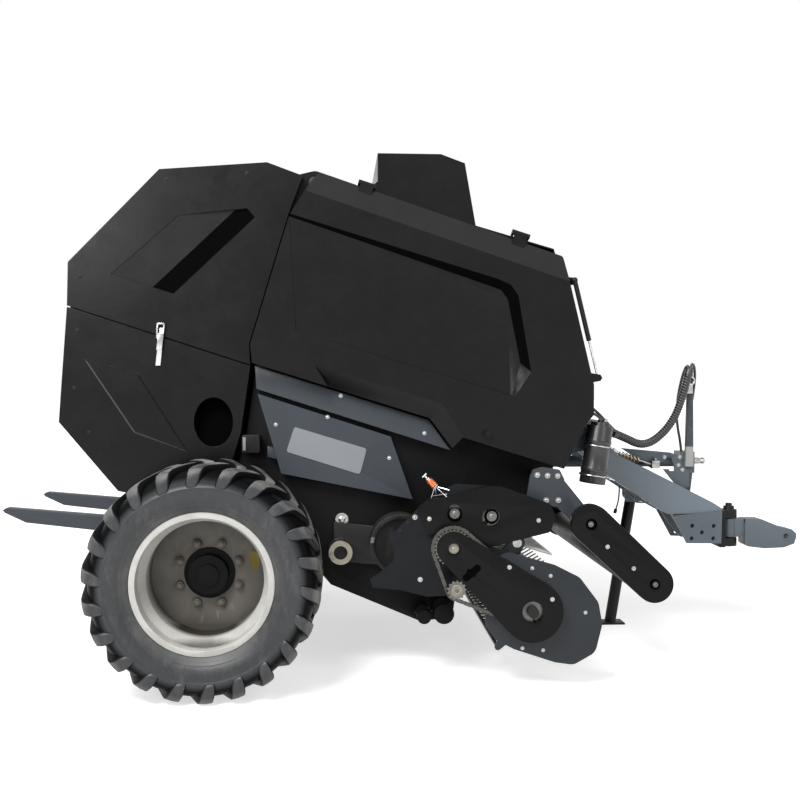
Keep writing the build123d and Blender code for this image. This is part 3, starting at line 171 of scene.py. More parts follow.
class Coat(Nodes):
    """A new node material, with its patterns on the object's coordinates."""

    def __init__(self, name):
        self.material = bpy.data.materials.new(name)
        self.material.use_nodes = True
        super().__init__(self.material.node_tree)
        self.dust = tuple(bpy.context.scene.baler_paint.dust)
        spots = self.add("ShaderNodeTexCoord").outputs
        self.coords, self.normal = spots["Object"], spots["Normal"]

    def noise(self, scale, detail, roughness=0.6, stretch=None):
        """A noise pattern's strength, optionally stretched along an axis."""
        spot = self.coords
        if stretch:
            spot = self.add("ShaderNodeMapping", {"Vector": spot, "Scale": stretch}).outputs[0]
        return self.add("ShaderNodeTexNoise", {"Vector": spot, "Scale": scale, "Detail": detail,
                                               "Roughness": roughness}).outputs["Fac"]

    def axle_radius(self):
        """Distance from the axle's line, in metres."""
        spot = self.split(self.coords)
        along = self.math("SUBTRACT", spot["X"], AXLE_X)
        up = self.math("SUBTRACT", spot["Z"], AXLE_Z)
        squares = self.math("ADD", self.math("MULTIPLY", along, along), self.math("MULTIPLY", up, up))
        return self.math("SQRT", squares)

    def lying_dust(self, amount):
        """How dusty a place is: more on faces that look up and near the ground, in patches."""
        facing = self.add("ShaderNodeNewGeometry").outputs["Normal"]
        up = self.band(self.split(facing)["Z"], 0.3, 1.0)
        low = self.band(self.split(self.coords)["Z"], 0.9, 0.1, 0.0, 0.35)
        patches = self.band(self.noise(5.0, 6.0), 0.35, 0.75, 0.15, 1.0)
        return self.math("MULTIPLY", self.math("MULTIPLY", self.math("ADD", up, low), patches), amount)

    def lug_flank(self):
        """How much painted shade a face gets for looking squarely along the tyre's turning, as the lugs' sides do.
        """
        arm = self.vector("SUBTRACT", self.coords, (AXLE_X, 0, AXLE_Z))
        unit = self.vector("NORMALIZE", self.vector("MULTIPLY", arm, (1, 0, 1)))
        along = self.split(self.vector("CROSS_PRODUCT", self.normal, unit))["Y"]
        return self.band(self.math("ABSOLUTE", along), 0.35, 0.75, 0.0, 0.85)

    def close(self, height, strength, distance, inputs):
        """Ends the material in its shader, with bumps of a height pattern, and returns it."""
        skin = self.add("ShaderNodeBump", {"Strength": strength, "Distance": distance, "Height": height})
        shader = self.add("ShaderNodeBsdfPrincipled", {**inputs, "Normal": skin.outputs[0]})
        self.add("ShaderNodeOutputMaterial", {"Surface": shader.outputs[0]})
        return self.material


# Materials


def painted(coat, colour, rough, dust, wear, shine, wear_colour=(0.20, 0.20, 0.20)):
    """Paint with an orange-peel skin, faint scuffs and lying dust."""
    scuffs = coat.band(coat.noise(46.0, 8.0, 0.75, (1.0, 1.0, 0.25)), 0.66, 0.74, 0.0, wear)
    tone = coat.mix(coat.band(coat.noise(2.2, 3.0), 0.3, 0.7), tuple(c * 0.95 for c in colour),
                    tuple(min(1.0, c * 1.05) for c in colour))
    dusty = coat.lying_dust(dust)
    smear = coat.band(coat.noise(9.0, 5.0), 0.3, 0.7, rough - 0.05, rough + 0.07)
    return coat.close(coat.noise(420.0, 2.0), 0.04, 0.001, {
        "Base Color": coat.mix(dusty, coat.mix(scuffs, tone, wear_colour), coat.dust),
        "Roughness": coat.math("ADD", smear, dusty), "Specular IOR Level": shine})


def metal(coat, colour, rough, grime):
    """Bare or plated metal with fine scratches and grime in patches."""
    patches = coat.band(coat.noise(24.0, 7.0), 0.50, 0.72, 0.0, grime)
    fine = coat.band(coat.noise(160.0, 3.0), 0.2, 0.8, rough - 0.08, rough + 0.14)
    return coat.close(coat.noise(300.0, 2.0), 0.08, 0.0006, {
        "Base Color": coat.mix(patches, colour, (0.05, 0.045, 0.04)), "Roughness": fine, "Metallic": 1.0})


def tyre_rubber(coat, colour, tread):
    """Tyre rubber, dusty by the rim, with painted shade between the lugs and on their sides; tread is how dusty
    the lugs' tops are.
    """
    radius = coat.axle_radius()
    # Painted shade: near black between the lugs on the carcass and on faces that look along the turning; it also
    # takes away the dust and shine there
    groove = coat.band(radius, 0.408, 0.435, 0.0, 0.0 if tread else 0.9)
    hidden = coat.math("MAXIMUM", groove, coat.lug_flank())
    seen = coat.math("SUBTRACT", 1.0, hidden)
    by_rim = coat.band(radius, 0.345, 0.300, 0.0, 0.30)
    where = coat.math("ADD", by_rim, coat.band(radius, 0.455, 0.492, 0.03, tread))
    patches = coat.band(coat.noise(7.0, 9.0, 0.7), 0.36, 0.70, 0.05, 1.0)
    smears = coat.band(coat.noise(30.0, 6.0, 0.75, (1.0, 1.0, 0.35)), 0.48, 0.74, 0.0, 0.16)
    blotches = coat.band(coat.noise(4.0, 7.0, 0.65), 0.40, 0.60, 0.1, 1.3)
    amount = coat.math("ADD", coat.math("MULTIPLY", where, patches), coat.math("MULTIPLY", smears, blotches))
    amount = coat.math("MULTIPLY", amount, seen)
    return coat.close(coat.noise(130.0, 6.0), 0.35, 0.0016, {
        "Base Color": coat.mix(hidden, coat.mix(amount, colour, coat.dust), (0.002, 0.002, 0.002)),
        "Roughness": coat.band(amount, 0.0, 0.6, 0.38, 0.85),
        "Specular IOR Level": coat.math("MULTIPLY", seen, 0.42)})


def dusty_rim(coat, colour, shade, reach=0.35, dim=(0.30, 0.31), deep=(0.5, 0.4)):
    """Rim paint with brown dirt in streaks and rust spots, and painted shade that darkens it outwards between two
    radii, inwards between two depths and in its bottom.
    """
    streaks = coat.band(coat.noise(12.0, 9.0, 0.7, (1.0, 0.35, 1.0)), 0.44, 0.74, 0.0, reach)
    rust = coat.band(coat.noise(70.0, 4.0), 0.68, 0.75, 0.0, 0.6)
    tone = coat.mix(rust, coat.mix(streaks, colour, shade), (0.16, 0.11, 0.07))
    spot = coat.split(coat.coords)
    across = coat.math("ABSOLUTE", spot["Y"])
    # The grime here is painted shade, not dirt: darker outwards between two radii and inwards between two depths
    outer = coat.band(coat.axle_radius(), *dim, 0.0, 0.85)
    grime = coat.math("MAXIMUM", outer, coat.band(across, *deep, 0.0, 0.9))
    # Painted shadow of the disc in the bottom of the rim: below a height under the axle and behind a distance from
    # the middle.
    for height, behind, most in (((0.13, 0.22), (1.083, 1.030), 1.0), ((0.240, 0.268), (1.165, 1.120), 0.8)):
        low = coat.band(spot["Z"], AXLE_Z - height[0], AXLE_Z - height[1])
        lying = coat.math("MULTIPLY", low, coat.band(across, *behind, 0.0, most))
        grime = coat.math("MAXIMUM", grime, lying)
    return coat.close(coat.noise(260.0, 3.0), 0.06, 0.001, {
        "Base Color": coat.mix(grime, tone, (0.022, 0.018, 0.013)),
        "Roughness": coat.band(coat.noise(18.0, 4.0), 0.3, 0.7, 0.38, 0.6), "Specular IOR Level": 0.4})


def two_tone(coat, low_colour, high_colour, edge):
    """Paint that changes tone at a height, with a soft seam."""
    seam = 0.0008
    over = coat.band(coat.split(coat.coords)["Z"], edge - seam, edge + seam)
    grain = coat.band(coat.noise(30.0, 6.0), 0.45, 0.75, 0.0, 0.25)
    return coat.close(coat.noise(380.0, 2.0), 0.05, 0.001, {
        "Base Color": coat.mix(grain, coat.mix(over, low_colour, high_colour), coat.dust),
        "Roughness": coat.band(coat.noise(11.0, 5.0), 0.3, 0.7, 0.32, 0.5), "Specular IOR Level": 0.3})


def coated(name, build, *values, **settings):
    """The named material, filled by one of the functions above when it is new."""
    return bpy.data.materials.get(name) or build(Coat(name), *values, **settings)


def tint(name, share=1.0):
    """One of the sidebar's paints, darker or lighter by a share."""
    return tuple(c * share for c in getattr(bpy.context.scene.baler_paint, name))


def finishes():
    """Every finish on the machine, by the name the pieces ask for."""
    # Colour, roughness, lying dust, wear, shine and, where it isn't grey, the colour under the wear
    paints = {
        "charcoal": ("Charcoal paint", tint("charcoal"), 0.26, 0.02, 0.005, 0.15),
        "case": ("Drive case black", tint("charcoal", 0.8), 0.33, 0.02, 0.01, 0.10),
        # Painted shade: near black put in openings and bores, in a fold of the doors and on a facet of the
        # tailgate's pocket
        "dark": ("Open dark", (0.002, 0.002, 0.002), 0.9, 0.0, 0.0, 0.0),
        "black": ("Black parts", (0.006, 0.006, 0.0065), 0.45, 0.12, 0.03, 0.2),
        "guard": ("Guard paint", tint("slate", 0.50), 0.30, 0.06, 0.03, 0.22, (0.12, 0.125, 0.13)),
        "deep": ("Frame black", (0.0028, 0.0028, 0.003), 0.5, 0.03, 0.0, 0.10),
        "slate": ("Slate paint", tint("slate"), 0.33, 0.08, 0.04, 0.25, (0.2, 0.21, 0.23)),
        "plate": ("Bare plate", (0.185, 0.198, 0.210), 0.4, 0.02, 0.01, 0.25),
        "drawbar": ("Drawbar grey paint", tint("drawbar"), 0.33, 0.12, 0.12, 0.25, (0.28, 0.29, 0.29)),
        "hose": ("Hose rubber", (0.018, 0.0185, 0.019), 0.33, 0.5, 0.1, 0.6),
        "nut": ("Dusty nuts", (0.085, 0.076, 0.060), 0.45, 0.1, 0.2, 0.5),
        # Painted shade: slate darkened for the side plate behind the drive hanger
        "shade": ("Side plate paint", tint("slate", 0.20), 0.34, 0.03, 0.02, 0.10),
        "yellow": ("Yellow plate", (0.16, 0.125, 0.02), 0.4, 0.05, 0.05, 0.25),
        "canister": ("Canister black", (0.013, 0.013, 0.014), 0.30, 0.1, 0.12, 0.55),
        # Painted highlight, with faint wear, on the lower covers' edges that look down
        "edge": ("Rubbed charcoal", (0.075, 0.075, 0.077), 0.3, 0.02, 0.05, 0.25),
        # Painted highlight: charcoal twice as light, with a little lying dust, for the doors' top bevels and a
        # facet of the tailgate's pocket
        "crown": ("Dusty charcoal", tint("charcoal", 2.0), 0.28, 0.05, 0.01, 0.2),
    }
    # Colour, roughness and grime
    metals = {
        "steel": ("Worn steel", (0.13, 0.127, 0.12), 0.36, 0.6),
        "chain": ("Chain steel", (0.07, 0.068, 0.064), 0.3, 0.6),
        "ring": ("Bearing steel", (0.21, 0.195, 0.155), 0.3, 0.5),
        "bright": ("Bright plate", (0.42, 0.42, 0.42), 0.2, 0.35),
        "zinc": ("Zinc plate", (0.36, 0.36, 0.345), 0.3, 0.45),
        "brass": ("Yellow zinc", (0.62, 0.46, 0.25), 0.3, 0.2),
        "copper": ("Copper red", (0.55, 0.16, 0.07), 0.3, 0.25),
    }
    coats = {}
    for build, rows in ((painted, paints), (metal, metals)):
        coats.update({key: coated(name, build, *values) for key, (name, *values) in rows.items()})
    return {
        **coats,
        "beam": coated("Drawbar beams", two_tone, tint("drawbar", 0.16), tint("drawbar", 1.55), 0.640),
        "post": coated("Hose post", two_tone, (0.36, 0.36, 0.34), tint("drawbar", 0.42), 0.985),
        # Painted shade in the rims and discs: darker outwards, inwards and in the bottom
        "cream": coated("Rim cream paint", dusty_rim, tint("cream"), (0.22, 0.205, 0.18), deep=(1.10, 0.97)),
        "taupe": coated("Disc taupe paint", dusty_rim, tint("taupe"), (0.10, 0.088, 0.07), 0.6, (0.150, 0.240)),
        "rubber": coated("Tyre rubber", tyre_rubber, tint("rubber"), 0.0),
        "tread": coated("Tread rubber", tyre_rubber, tint("rubber", 1.2), 0.95),
    }


# Geometry helpers


def linked(name, data):
    """An object in the scene for a mesh, curve, light or camera."""
    made = bpy.data.objects.new(name, data)
    bpy.context.scene.collection.objects.link(made)
    return made


def mesh_object(name, mesh):
    """Turns a bmesh into an object in the scene."""
    data = bpy.data.meshes.new(name)
    mesh.to_mesh(data)
    mesh.free()
    return linked(name, data)


def new_piece(name, mesh):
    """Turns a bmesh into an object, with its faces pointing outwards."""
    bmesh.ops.recalc_face_normals(mesh, faces=mesh.faces)
    return mesh_object(name, mesh)


def shade(piece, smooth):
    """Smooth shading up to an angle in degrees."""
    for face in piece.data.polygons:
        face.use_smooth = True
    piece.data.set_sharp_from_angle(angle=math.radians(smooth))


def finish_mesh(piece, material, body, smooth=35.0):
    """Gives a piece its material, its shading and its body."""
    piece.data.materials.clear()
    piece.data.materials.append(material)
    shade(piece, smooth)
    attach(piece, body)
    return piece


def add_piece(name, mesh, material, body, smooth=35.0, soft=None):
    """A finished piece from a bmesh; soft is the width and, if need be, the steps of its rounded edges."""
    piece = new_piece(name, mesh)
    if soft:
        rounded(piece, *soft)
    return finish_mesh(piece, material, body, smooth)


def settle(piece):
    """Turns a piece's modifiers into plain mesh."""
    graph = bpy.context.evaluated_depsgraph_get()
    data = bpy.data.meshes.new_from_object(piece.evaluated_get(graph))
    piece.modifiers.clear()
    old = piece.data
    piece.data = data
    bpy.data.meshes.remove(old)


def rounded(piece, width, segments=2, angle=30.0):
    """Rounds a piece's edges that are sharper than an angle and turns the result into plain mesh."""
    rounding = piece.modifiers.new("Edges", "BEVEL")
    rounding.width = width
    rounding.segments = segments
    rounding.limit_method = "ANGLE"
    rounding.angle_limit = math.radians(angle)
    settle(piece)


def dress(node, coats, finish, bevel, smooth):
    """Stands a cleaned, rounded and finished copy in for a CAD node, with other finishes on its zones."""
    mesh = bmesh.new()
    mesh.from_mesh(frame["nodes"][node].data)
    bmesh.ops.remove_doubles(mesh, verts=mesh.verts, dist=1e-6)
    bmesh.ops.dissolve_limit(mesh, angle_limit=math.radians(1.0), verts=mesh.verts, edges=mesh.edges)
    piece = mesh_object(node + "_finish", mesh)
    if bevel:
        rounded(piece, bevel, angle=32.0)
    finish_mesh(piece, coats[finish], BODY_OF[node], smooth=smooth)
    for index, (other, picks) in enumerate(ZONES.get(node, ()), 1):
        piece.data.materials.append(coats[other])
        for face in piece.data.polygons:
            if picks(face.center - Vector((AXLE_X, 0, 0)), face.normal):
                face.material_index = index
    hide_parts(node)


def frame_across(axis):
    """Two directions square to an axis."""
    axis = axis.normalized()
    side = axis.cross(Vector((0, 0, 1)) if abs(axis.z) < 0.9 else Vector((1, 0, 0))).normalized()
    return side, axis.cross(side).normalized()


def circle(side, up, radius, steps):
    """Offsets round a circle that two directions span."""
    turns = [2 * math.pi * i / steps for i in range(steps)]
    return [(side * math.cos(turn) + up * math.sin(turn)) * radius for turn in turns]


def join_rings(mesh, first, second):
    """Faces between two rings of points, or a fan where one of them is a single point."""
    count = max(len(first), len(second))
    for i in range(count):
        j = (i + 1) % count
        if len(first) == 1:
            mesh.faces.new((first[0], second[i], second[j]))
        elif len(second) == 1:
            mesh.faces.new((first[i], first[j], second[0]))
        else:
            mesh.faces.new((first[i], first[j], second[j], second[i]))


def add_skin(mesh, rings, ends=True):
    """Faces from ring to ring, and over both ends."""
    for first, second in zip(rings, rings[1:]):
        join_rings(mesh, first, second)
    if ends:
        mesh.faces.new(rings[0])
        mesh.faces.new(rings[-1][::-1])


def add_lathe(mesh, centre, axis, profile, steps):
    """A turned shape: profile holds (radius, distance along the axis) in metres; radius 0 closes an end."""
    side, up = frame_across(axis)
    axis = axis.normalized()
    rings = []
    for radius, along in profile:
        offsets = circle(side, up, radius, steps) if radius else [Vector()]
        rings.append([mesh.verts.new(centre + axis * along + offset) for offset in offsets])
    add_skin(mesh, rings, ends=False)


def add_rod(mesh, start, end, radius, steps, soft=0.15):
    """A round rod between two places with slightly rounded ends."""
    length = (end - start).length
    edge = min(radius * soft, length * 0.2)
    profile = ((0, 0), (radius - edge, 0), (radius, edge), (radius, length - edge), (radius - edge, length),
               (0, length))
    add_lathe(mesh, start, end - start, profile, steps)


def add_ring(mesh, centre, axis, radius, wire, steps, sides):
    """A closed ring of round wire."""
    axis = axis.normalized()
    loops = []
    for out in circle(*frame_across(axis), 1.0, steps):
        loops.append([mesh.verts.new(centre + out * radius + offset) for offset in circle(out, axis, wire, sides)])
    add_skin(mesh, loops + loops[:1], ends=False)


def add_plate(mesh, outline, y_from, y_to):
    """A plate with a side-view outline in drawing millimetres."""
    add_skin(mesh, [[mesh.verts.new(place(x, y, z)) for x, z in outline] for y in (y_from, y_to)])


def add_tube(mesh, path, radii, sides):
    """A tube along a path with a radius for each point, closed at its ends."""
    loops = []
    side = None
    for i, (spot, radius) in enumerate(zip(path, radii)):
        ahead = (path[min(i + 1, len(path) - 1)] - path[max(i - 1, 0)]).normalized()
        side = frame_across(ahead)[0] if side is None else (side - ahead * side.dot(ahead)).normalized()
        loops.append([mesh.verts.new(spot + offset) for offset in circle(side, ahead.cross(side), radius, sides)])
    add_skin(mesh, loops)


def route_points(name, points):
    """The places that a smooth route passes through, with the given points as its control points."""
    data = bpy.data.curves.new(name + "_route", "CURVE")
    data.dimensions = "3D"
    data.resolution_u = 10
    spline = data.splines.new("NURBS")
    spline.points.add(len(points) - 1)
    for point, spot in zip(spline.points, points):
        point.co = (*place(*spot), 1)
    spline.order_u = 3
    spline.use_endpoint_u = True
    holder = linked(name + "_route", data)
    line = bpy.data.meshes.new_from_object(holder.evaluated_get(bpy.context.evaluated_depsgraph_get()))
    path = [vertex.co.copy() for vertex in line.vertices]
    bpy.data.meshes.remove(line)
    bpy.data.objects.remove(holder)
    bpy.data.curves.remove(data)
    return path


def route_steps(name, points, step):
    """Places at even distances along a smooth route, about a step apart, and the route's length."""
    path = route_points(name, points)
    lengths = [0.0]
    for a, b in zip(path, path[1:]):
        lengths.append(lengths[-1] + (b - a).length)
    count = max(2, round(lengths[-1] / step))
    spots = []
    part = 0
    for i in range(count + 1):
        along = lengths[-1] * i / count
        while part < len(path) - 2 and lengths[part + 1] < along:
            part += 1
        share = (along - lengths[part]) / max(lengths[part + 1] - lengths[part], 1e-9)
        spots.append(path[part].lerp(path[part + 1], share))
    return spots, lengths[-1]


# Geometry Nodes trees


def instance_tree(name, inputs, build):
    """A tree that stands copies on points, ending in Realize Instances and Set Material; made only once."""
    old = bpy.data.node_groups.get(name)
    if old:
        return old
    tree = bpy.data.node_groups.new(name, "GeometryNodeTree")
    for label, kind in {"Geometry": "Geometry", **inputs, "Material": "Material"}.items():
        tree.interface.new_socket(label, in_out="INPUT", socket_type="NodeSocket" + kind)
    tree.interface.new_socket("Geometry", in_out="OUTPUT", socket_type="NodeSocketGeometry")
    nodes = Nodes(tree)
    given = nodes.add("NodeGroupInput").outputs
    copies = nodes.add("GeometryNodeInstanceOnPoints", build(nodes, given))
    real = nodes.add("GeometryNodeRealizeInstances", {"Geometry": copies.outputs["Instances"]})
    coat = nodes.add("GeometryNodeSetMaterial", {"Geometry": real.outputs[0], "Material": given["Material"]})
    nodes.add("NodeGroupOutput", {"Geometry": coat.outputs[0]})
    return tree


def lugs_round_axle(nodes, given):
    """Copies one tread lug round the axle."""
    back = nodes.add("ShaderNodeVectorMath", {0: given["Axle"], "Scale": -1}, operation="SCALE")
    centred = nodes.add("GeometryNodeTransform", {"Geometry": given["Geometry"], "Translation": back.outputs[0]})
    points = nodes.add("GeometryNodePoints", {"Count": given["Count"], "Position": given["Axle"]})
    step = nodes.math("DIVIDE", 2 * math.pi, given["Count"])
    turn = nodes.math("MULTIPLY", nodes.add("GeometryNodeInputIndex").outputs[0], step)
    around = nodes.add("ShaderNodeCombineXYZ", {"Y": nodes.math("ADD", turn, given["First angle"])})
    return {"Points": points.outputs[0], "Instance": centred.outputs[0], "Rotation": around.outputs[0]}


def bolts_on_points(nodes, given):
    """A crowned head on a washer at each point, turned to the point's facing and sized by its size."""
    height = given["Head height"]
    head = nodes.add("GeometryNodeMeshCylinder", {"Radius": 1.0, "Vertices": given["Sides"], "Depth": height})
    crown = nodes.add("GeometryNodeMeshCone", {"Vertices": 10, "Radius Top": 0.35, "Radius Bottom": 0.72,
                                               "Depth": 0.22})
    washer = nodes.add("GeometryNodeMeshCylinder", {"Vertices": 14, "Depth": 0.3, "Radius": given["Washer share"]})
    parts = []
    for part, lift in ((head, nodes.math("MULTIPLY", height, 0.5)), (crown, height)):
        up = nodes.add("ShaderNodeCombineXYZ", {"Z": lift})
        raised = nodes.add("GeometryNodeTransform", {"Geometry": part.outputs[0], "Translation": up.outputs[0]})
        parts.append(raised.outputs[0])
    whole = nodes.add("GeometryNodeJoinGeometry", {"Geometry": [*parts, washer.outputs[0]]})
    facing = nodes.add("GeometryNodeInputNamedAttribute", {"Name": "facing"}, data_type="FLOAT_VECTOR")
    size = nodes.add("GeometryNodeInputNamedAttribute", {"Name": "size"}, data_type="FLOAT")
    aim = nodes.add("FunctionNodeAlignRotationToVector", {"Vector": facing.outputs[0]}, axis="Z")
    return {"Points": given["Geometry"], "Instance": whole.outputs[0], "Rotation": aim.outputs[0],
            "Scale": size.outputs[0]}


def grow(piece, tree, values):
    """Runs a Geometry Nodes tree on a piece with the named values and keeps the plain mesh."""
    modifier = piece.modifiers.new(tree.name, "NODES")
    modifier.node_group = tree
    for item in tree.interface.items_tree:
        if item.item_type == "SOCKET" and item.in_out == "INPUT" and item.name in values:
            modifier[item.identifier] = values[item.name]
    settle(piece)


def add_bolts(name, body, spots, material, height=0.7, washer=1.6, sides=6):
    """Bolt heads at (place, facing, radius) spots, as one piece on one body."""
    data = bpy.data.meshes.new(name)
    data.from_pydata([spot for spot, _, _ in spots], [], [])
    data.attributes.new("facing", "FLOAT_VECTOR", "POINT")
    data.attributes.new("size", "FLOAT", "POINT")
    for i, (_, direction, radius) in enumerate(spots):
        data.attributes["facing"].data[i].vector = direction
        data.attributes["size"].data[i].value = radius
    piece = linked(name, data)
    tree = instance_tree("Bolt heads on points", {"Head height": "Float", "Washer share": "Float", "Sides": "Int"},
                         bolts_on_points)
    grow(piece, tree, {"Head height": height, "Washer share": washer, "Sides": sides, "Material": material})
    shade(piece, 35.0)
    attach(piece, body)


# Panels and metalwork: each node's finish, the width of its rounded edges in metres and its smoothing angle

FINISHES = (
    ("charcoal", 0.0022, 13.0, ("front_hood", "top_box", "tailgate_shell")),
    ("case", 0.0015, 32.0, ("crop_arms",)),
    ("canister", 0.0015, 32.0, ("oil_canister",)),
    ("deep", 0.0015, 32.0, ("frame_sides", "feed_floor", "axle", "cross_tubes")),
    ("black", 0.0015, 32.0, ("side_lamps", "parking_jack", "swivel_block",
                             "fork_hinge_arms", "pickup_pivots", "tailgate_hinge_tube", "chamber_rollers",
                             "tailgate_rollers", "crop_roller")),
    ("slate", 0.0018, 32.0, ("shields_upper", "bale_forks")),
    ("guard", 0.0018, 32.0, ("pickup_guards", "pickup_frame")),
    ("drawbar", 0.0018, 32.0, ("hitch_tongue",)),
    ("zinc", 0.0, 32.0, ("finger_comb",)),
    ("steel", 0.0, 32.0, ("reel_bands",)),
    ("chain", 0.0, 32.0, ("pickup_chain",)),
    ("black", 0.0008, 32.0, ("door_strut_tube_right", "door_strut_tube_left")),
    ("bright", 0.0008, 32.0, ("door_strut_rod_right", "door_strut_rod_left", "cover_latches")),
    ("charcoal", 0.0022, 13.0, ("side_door_right", "side_door_left")),
    ("charcoal", 0.0022, 0.5, ("tailgate_covers_upper", "tailgate_covers_lower")),
    ("slate", 0.0018, 20.0, ("shields_lower",)),
    ("case", 0.0015, 32.0, ("drive_hanger",)),
    ("case", 0.0012, 32.0, ("pickup_chain_case",)),
    ("black", 0.0015, 32.0, ("drive_case",)),
    ("drawbar", 0.0018, 28.0, ("drawbar",)),
    ("drawbar", 0.0018, 32.0, ("pto_box",)),
    ("post", 0.0018, 32.0, ("hose_post",)),
    ("slate", 0.0018, 32.0, ("crop_hangers",)),
    ("steel", 0.0, 32.0, ("pickup_reel",)),
)

# Lines across the machine, as metres forward of the axle and above the ground
AXLE = (0.0, AXLE_Z)
ROTOR = (0.838, 0.592)
BEARING = (0.571, 0.552)
ARM_PIVOT = (1.649, 0.713)
REEL = (1.389, 0.346)
IDLER = (1.064, 0.440)
PIVOT = (1.050, 0.620)
UPPER_PORTS = (((1.062, 0.770), 0.022), ((1.218, 0.745), 0.029))


def near(spot, line, radius):
    """Whether a place lies within a radius of a line across the machine."""
    return math.hypot(spot.x - line[0], spot.z - line[1]) < radius


# Where a node has another finish, painted shade and painted highlight among them: a test of a face's middle, in
# metres forward of the axle and above the ground, and of its direction
ZONES = {
    "tailgate_covers_upper": (
        # Painted shade on the pocket's right facet, painted highlight on its left facet
        ("dark", lambda at, out: out.x < -0.1 and abs(out.y) > 0.9),
        ("crown", lambda at, out: out.x > 0.03 and abs(out.y) > 0.95),
    ),
    # Painted highlight on the edges round the pocket that look down
    "tailgate_covers_lower": (("edge", lambda at, out: 0.6 < abs(out.y) < 0.8 and out.z < -0.1),),
    "shields_lower": (("plate", lambda at, out: abs(at.y) > 0.7175 and abs(out.y) > 0.9),),
    "drive_hanger": (
        # Painted shade on the side plate behind
        ("shade", lambda at, out: at.y > -0.9985),
        ("steel", lambda at, out: at.y < -1.05 and near(at, PIVOT, 0.1)),
        ("steel", lambda at, out: at.y < -1.0 and any(near(at, *port) for port in UPPER_PORTS)),
    ),
    "pickup_chain_case": (("ring", lambda at, out: near(at, IDLER, 0.05) and at.y > -1.0975),),
    "drive_case": (
        ("ring", lambda at, out: near(at, BEARING, 0.06) and not near(at, BEARING, 0.03)),
        ("steel", lambda at, out: at.y < -0.79 and near(at, ROTOR, 0.14) and not near(at, ROTOR, 0.1)),
    ),
    "drawbar": (("beam", lambda at, out: 1.7 < at.x < 2.36 and abs(out.y) > 0.9 and abs(at.y) < 0.19),),
    # Painted shade in the arm pivot's bore
    "crop_hangers": (("dark", lambda at, out: near(at, ARM_PIVOT, 0.06) and abs(at.y) > 0.95),),
    "pickup_reel": (("black", lambda at, out: near(at, REEL, 0.05) and at.y < -1.1),),
}
for _side in ("right", "left"):
    ZONES["side_door_" + _side] = (
        # Painted shade in the fold high on the door, painted highlight on its top bevel
        ("dark", lambda at, out: 0.85 < abs(out.y) < 0.93 and out.z < 0.05 and at.z > 1.45),
        ("crown", lambda at, out: 0.4 < out.z < 0.6 and 0.8 < abs(out.y) < 0.9),
    )
    ZONES["rim_" + _side] = (("taupe", lambda at, out: near(at, AXLE, 0.247) and abs(at.y) < DISC_Y + 0.03),)
    ZONES["hub_" + _side] = (("nut", lambda at, out: not near(at, AXLE, 0.117) and abs(at.y) > DISC_Y + 0.001),)


class BALER_OT_panels(bpy.types.Operator):
    """Finishes the CAD nodes with paint and metal"""

    bl_idname = "baler.panels"
    bl_label = "Panels and metalwork"

    def execute(self, context):
        coats = finishes()
        for finish, bevel, smooth, nodes in FINISHES:
            for node in nodes:
                dress(node, coats, finish, bevel, smooth)
        return {"FINISHED"}


# Wheels, built for the right side and mirrored for the left

CARCASS = (
    (0.2864, 0.1845), (0.2996, 0.1935), (0.3002, 0.2045), (0.306, 0.2100), (0.318, 0.2165), (0.326, 0.2215),
    (0.329, 0.2245), (0.333, 0.2250), (0.336, 0.2270), (0.350, 0.2335), (0.368, 0.2385), (0.386, 0.2410),
    (0.398, 0.2415), (0.4005, 0.2435), (0.4040, 0.2435), (0.4065, 0.2415), (0.420, 0.2400), (0.433, 0.2365),
    (0.446, 0.2280), (0.457, 0.2140), (0.4645, 0.1930), (0.4690, 0.1620), (0.4712, 0.1200), (0.4722, 0.0600),
    (0.4725, 0.0000),
)

# A lug's sections from the middle of the tread over the shoulder: how far round in degrees, half width,
# then the (radius, distance from the tyre's middle) of its foot and of its top.
LUG = (
    (9.6, 0.020, (0.468, 0.004), (0.482, 0.006)),
    (9.2, 0.024, (0.468, 0.012), (0.4940, 0.016)),
    (7.0, 0.025, (0.468, 0.052), (0.4945, 0.052)),
    (4.8, 0.026, (0.468, 0.092), (0.4944, 0.092)),
    (2.7, 0.027, (0.467, 0.132), (0.4942, 0.133)),
    (0.7, 0.029, (0.465, 0.168), (0.4938, 0.171)),
    (-0.9, 0.030, (0.461, 0.198), (0.4915, 0.207)),
    (-2.2, 0.030, (0.452, 0.216), (0.4840, 0.2330)),
    (-3.2, 0.028, (0.438, 0.229), (0.4660, 0.2465)),
    (-4.2, 0.025, (0.422, 0.2355), (0.4400, 0.2492)),
    (-5.0, 0.020, (0.408, 0.238), (0.4180, 0.2485)),
    (-5.5, 0.012, (0.400, 0.236), (0.4050, 0.2440)),
)


def tyre_spot(radius, across, degrees, side, mirror):
    """A place on the tyre from its radius, its distance from the tyre's middle and how far round it is."""
    turn = math.radians(degrees)
    return Vector((AXLE_X + radius * math.sin(turn), side * (TRACK_Y + mirror * across),
                   AXLE_Z + radius * math.cos(turn)))


def tyre_carcass(side):
    """The tyre's body, turned about the axle with its bead seated round the rim."""
    mesh = bmesh.new()
    profile = [(r, y) for r, y in CARCASS] + [(r, -y) for r, y in CARCASS[-2::-1]]
    steps = 144
    rings = []
    for radius, across in profile:
        rings.append([mesh.verts.new(tyre_spot(radius, across, 360 * i / steps, side, 1)) for i in range(steps)])
    add_skin(mesh, rings + rings[:1], ends=False)
    return mesh


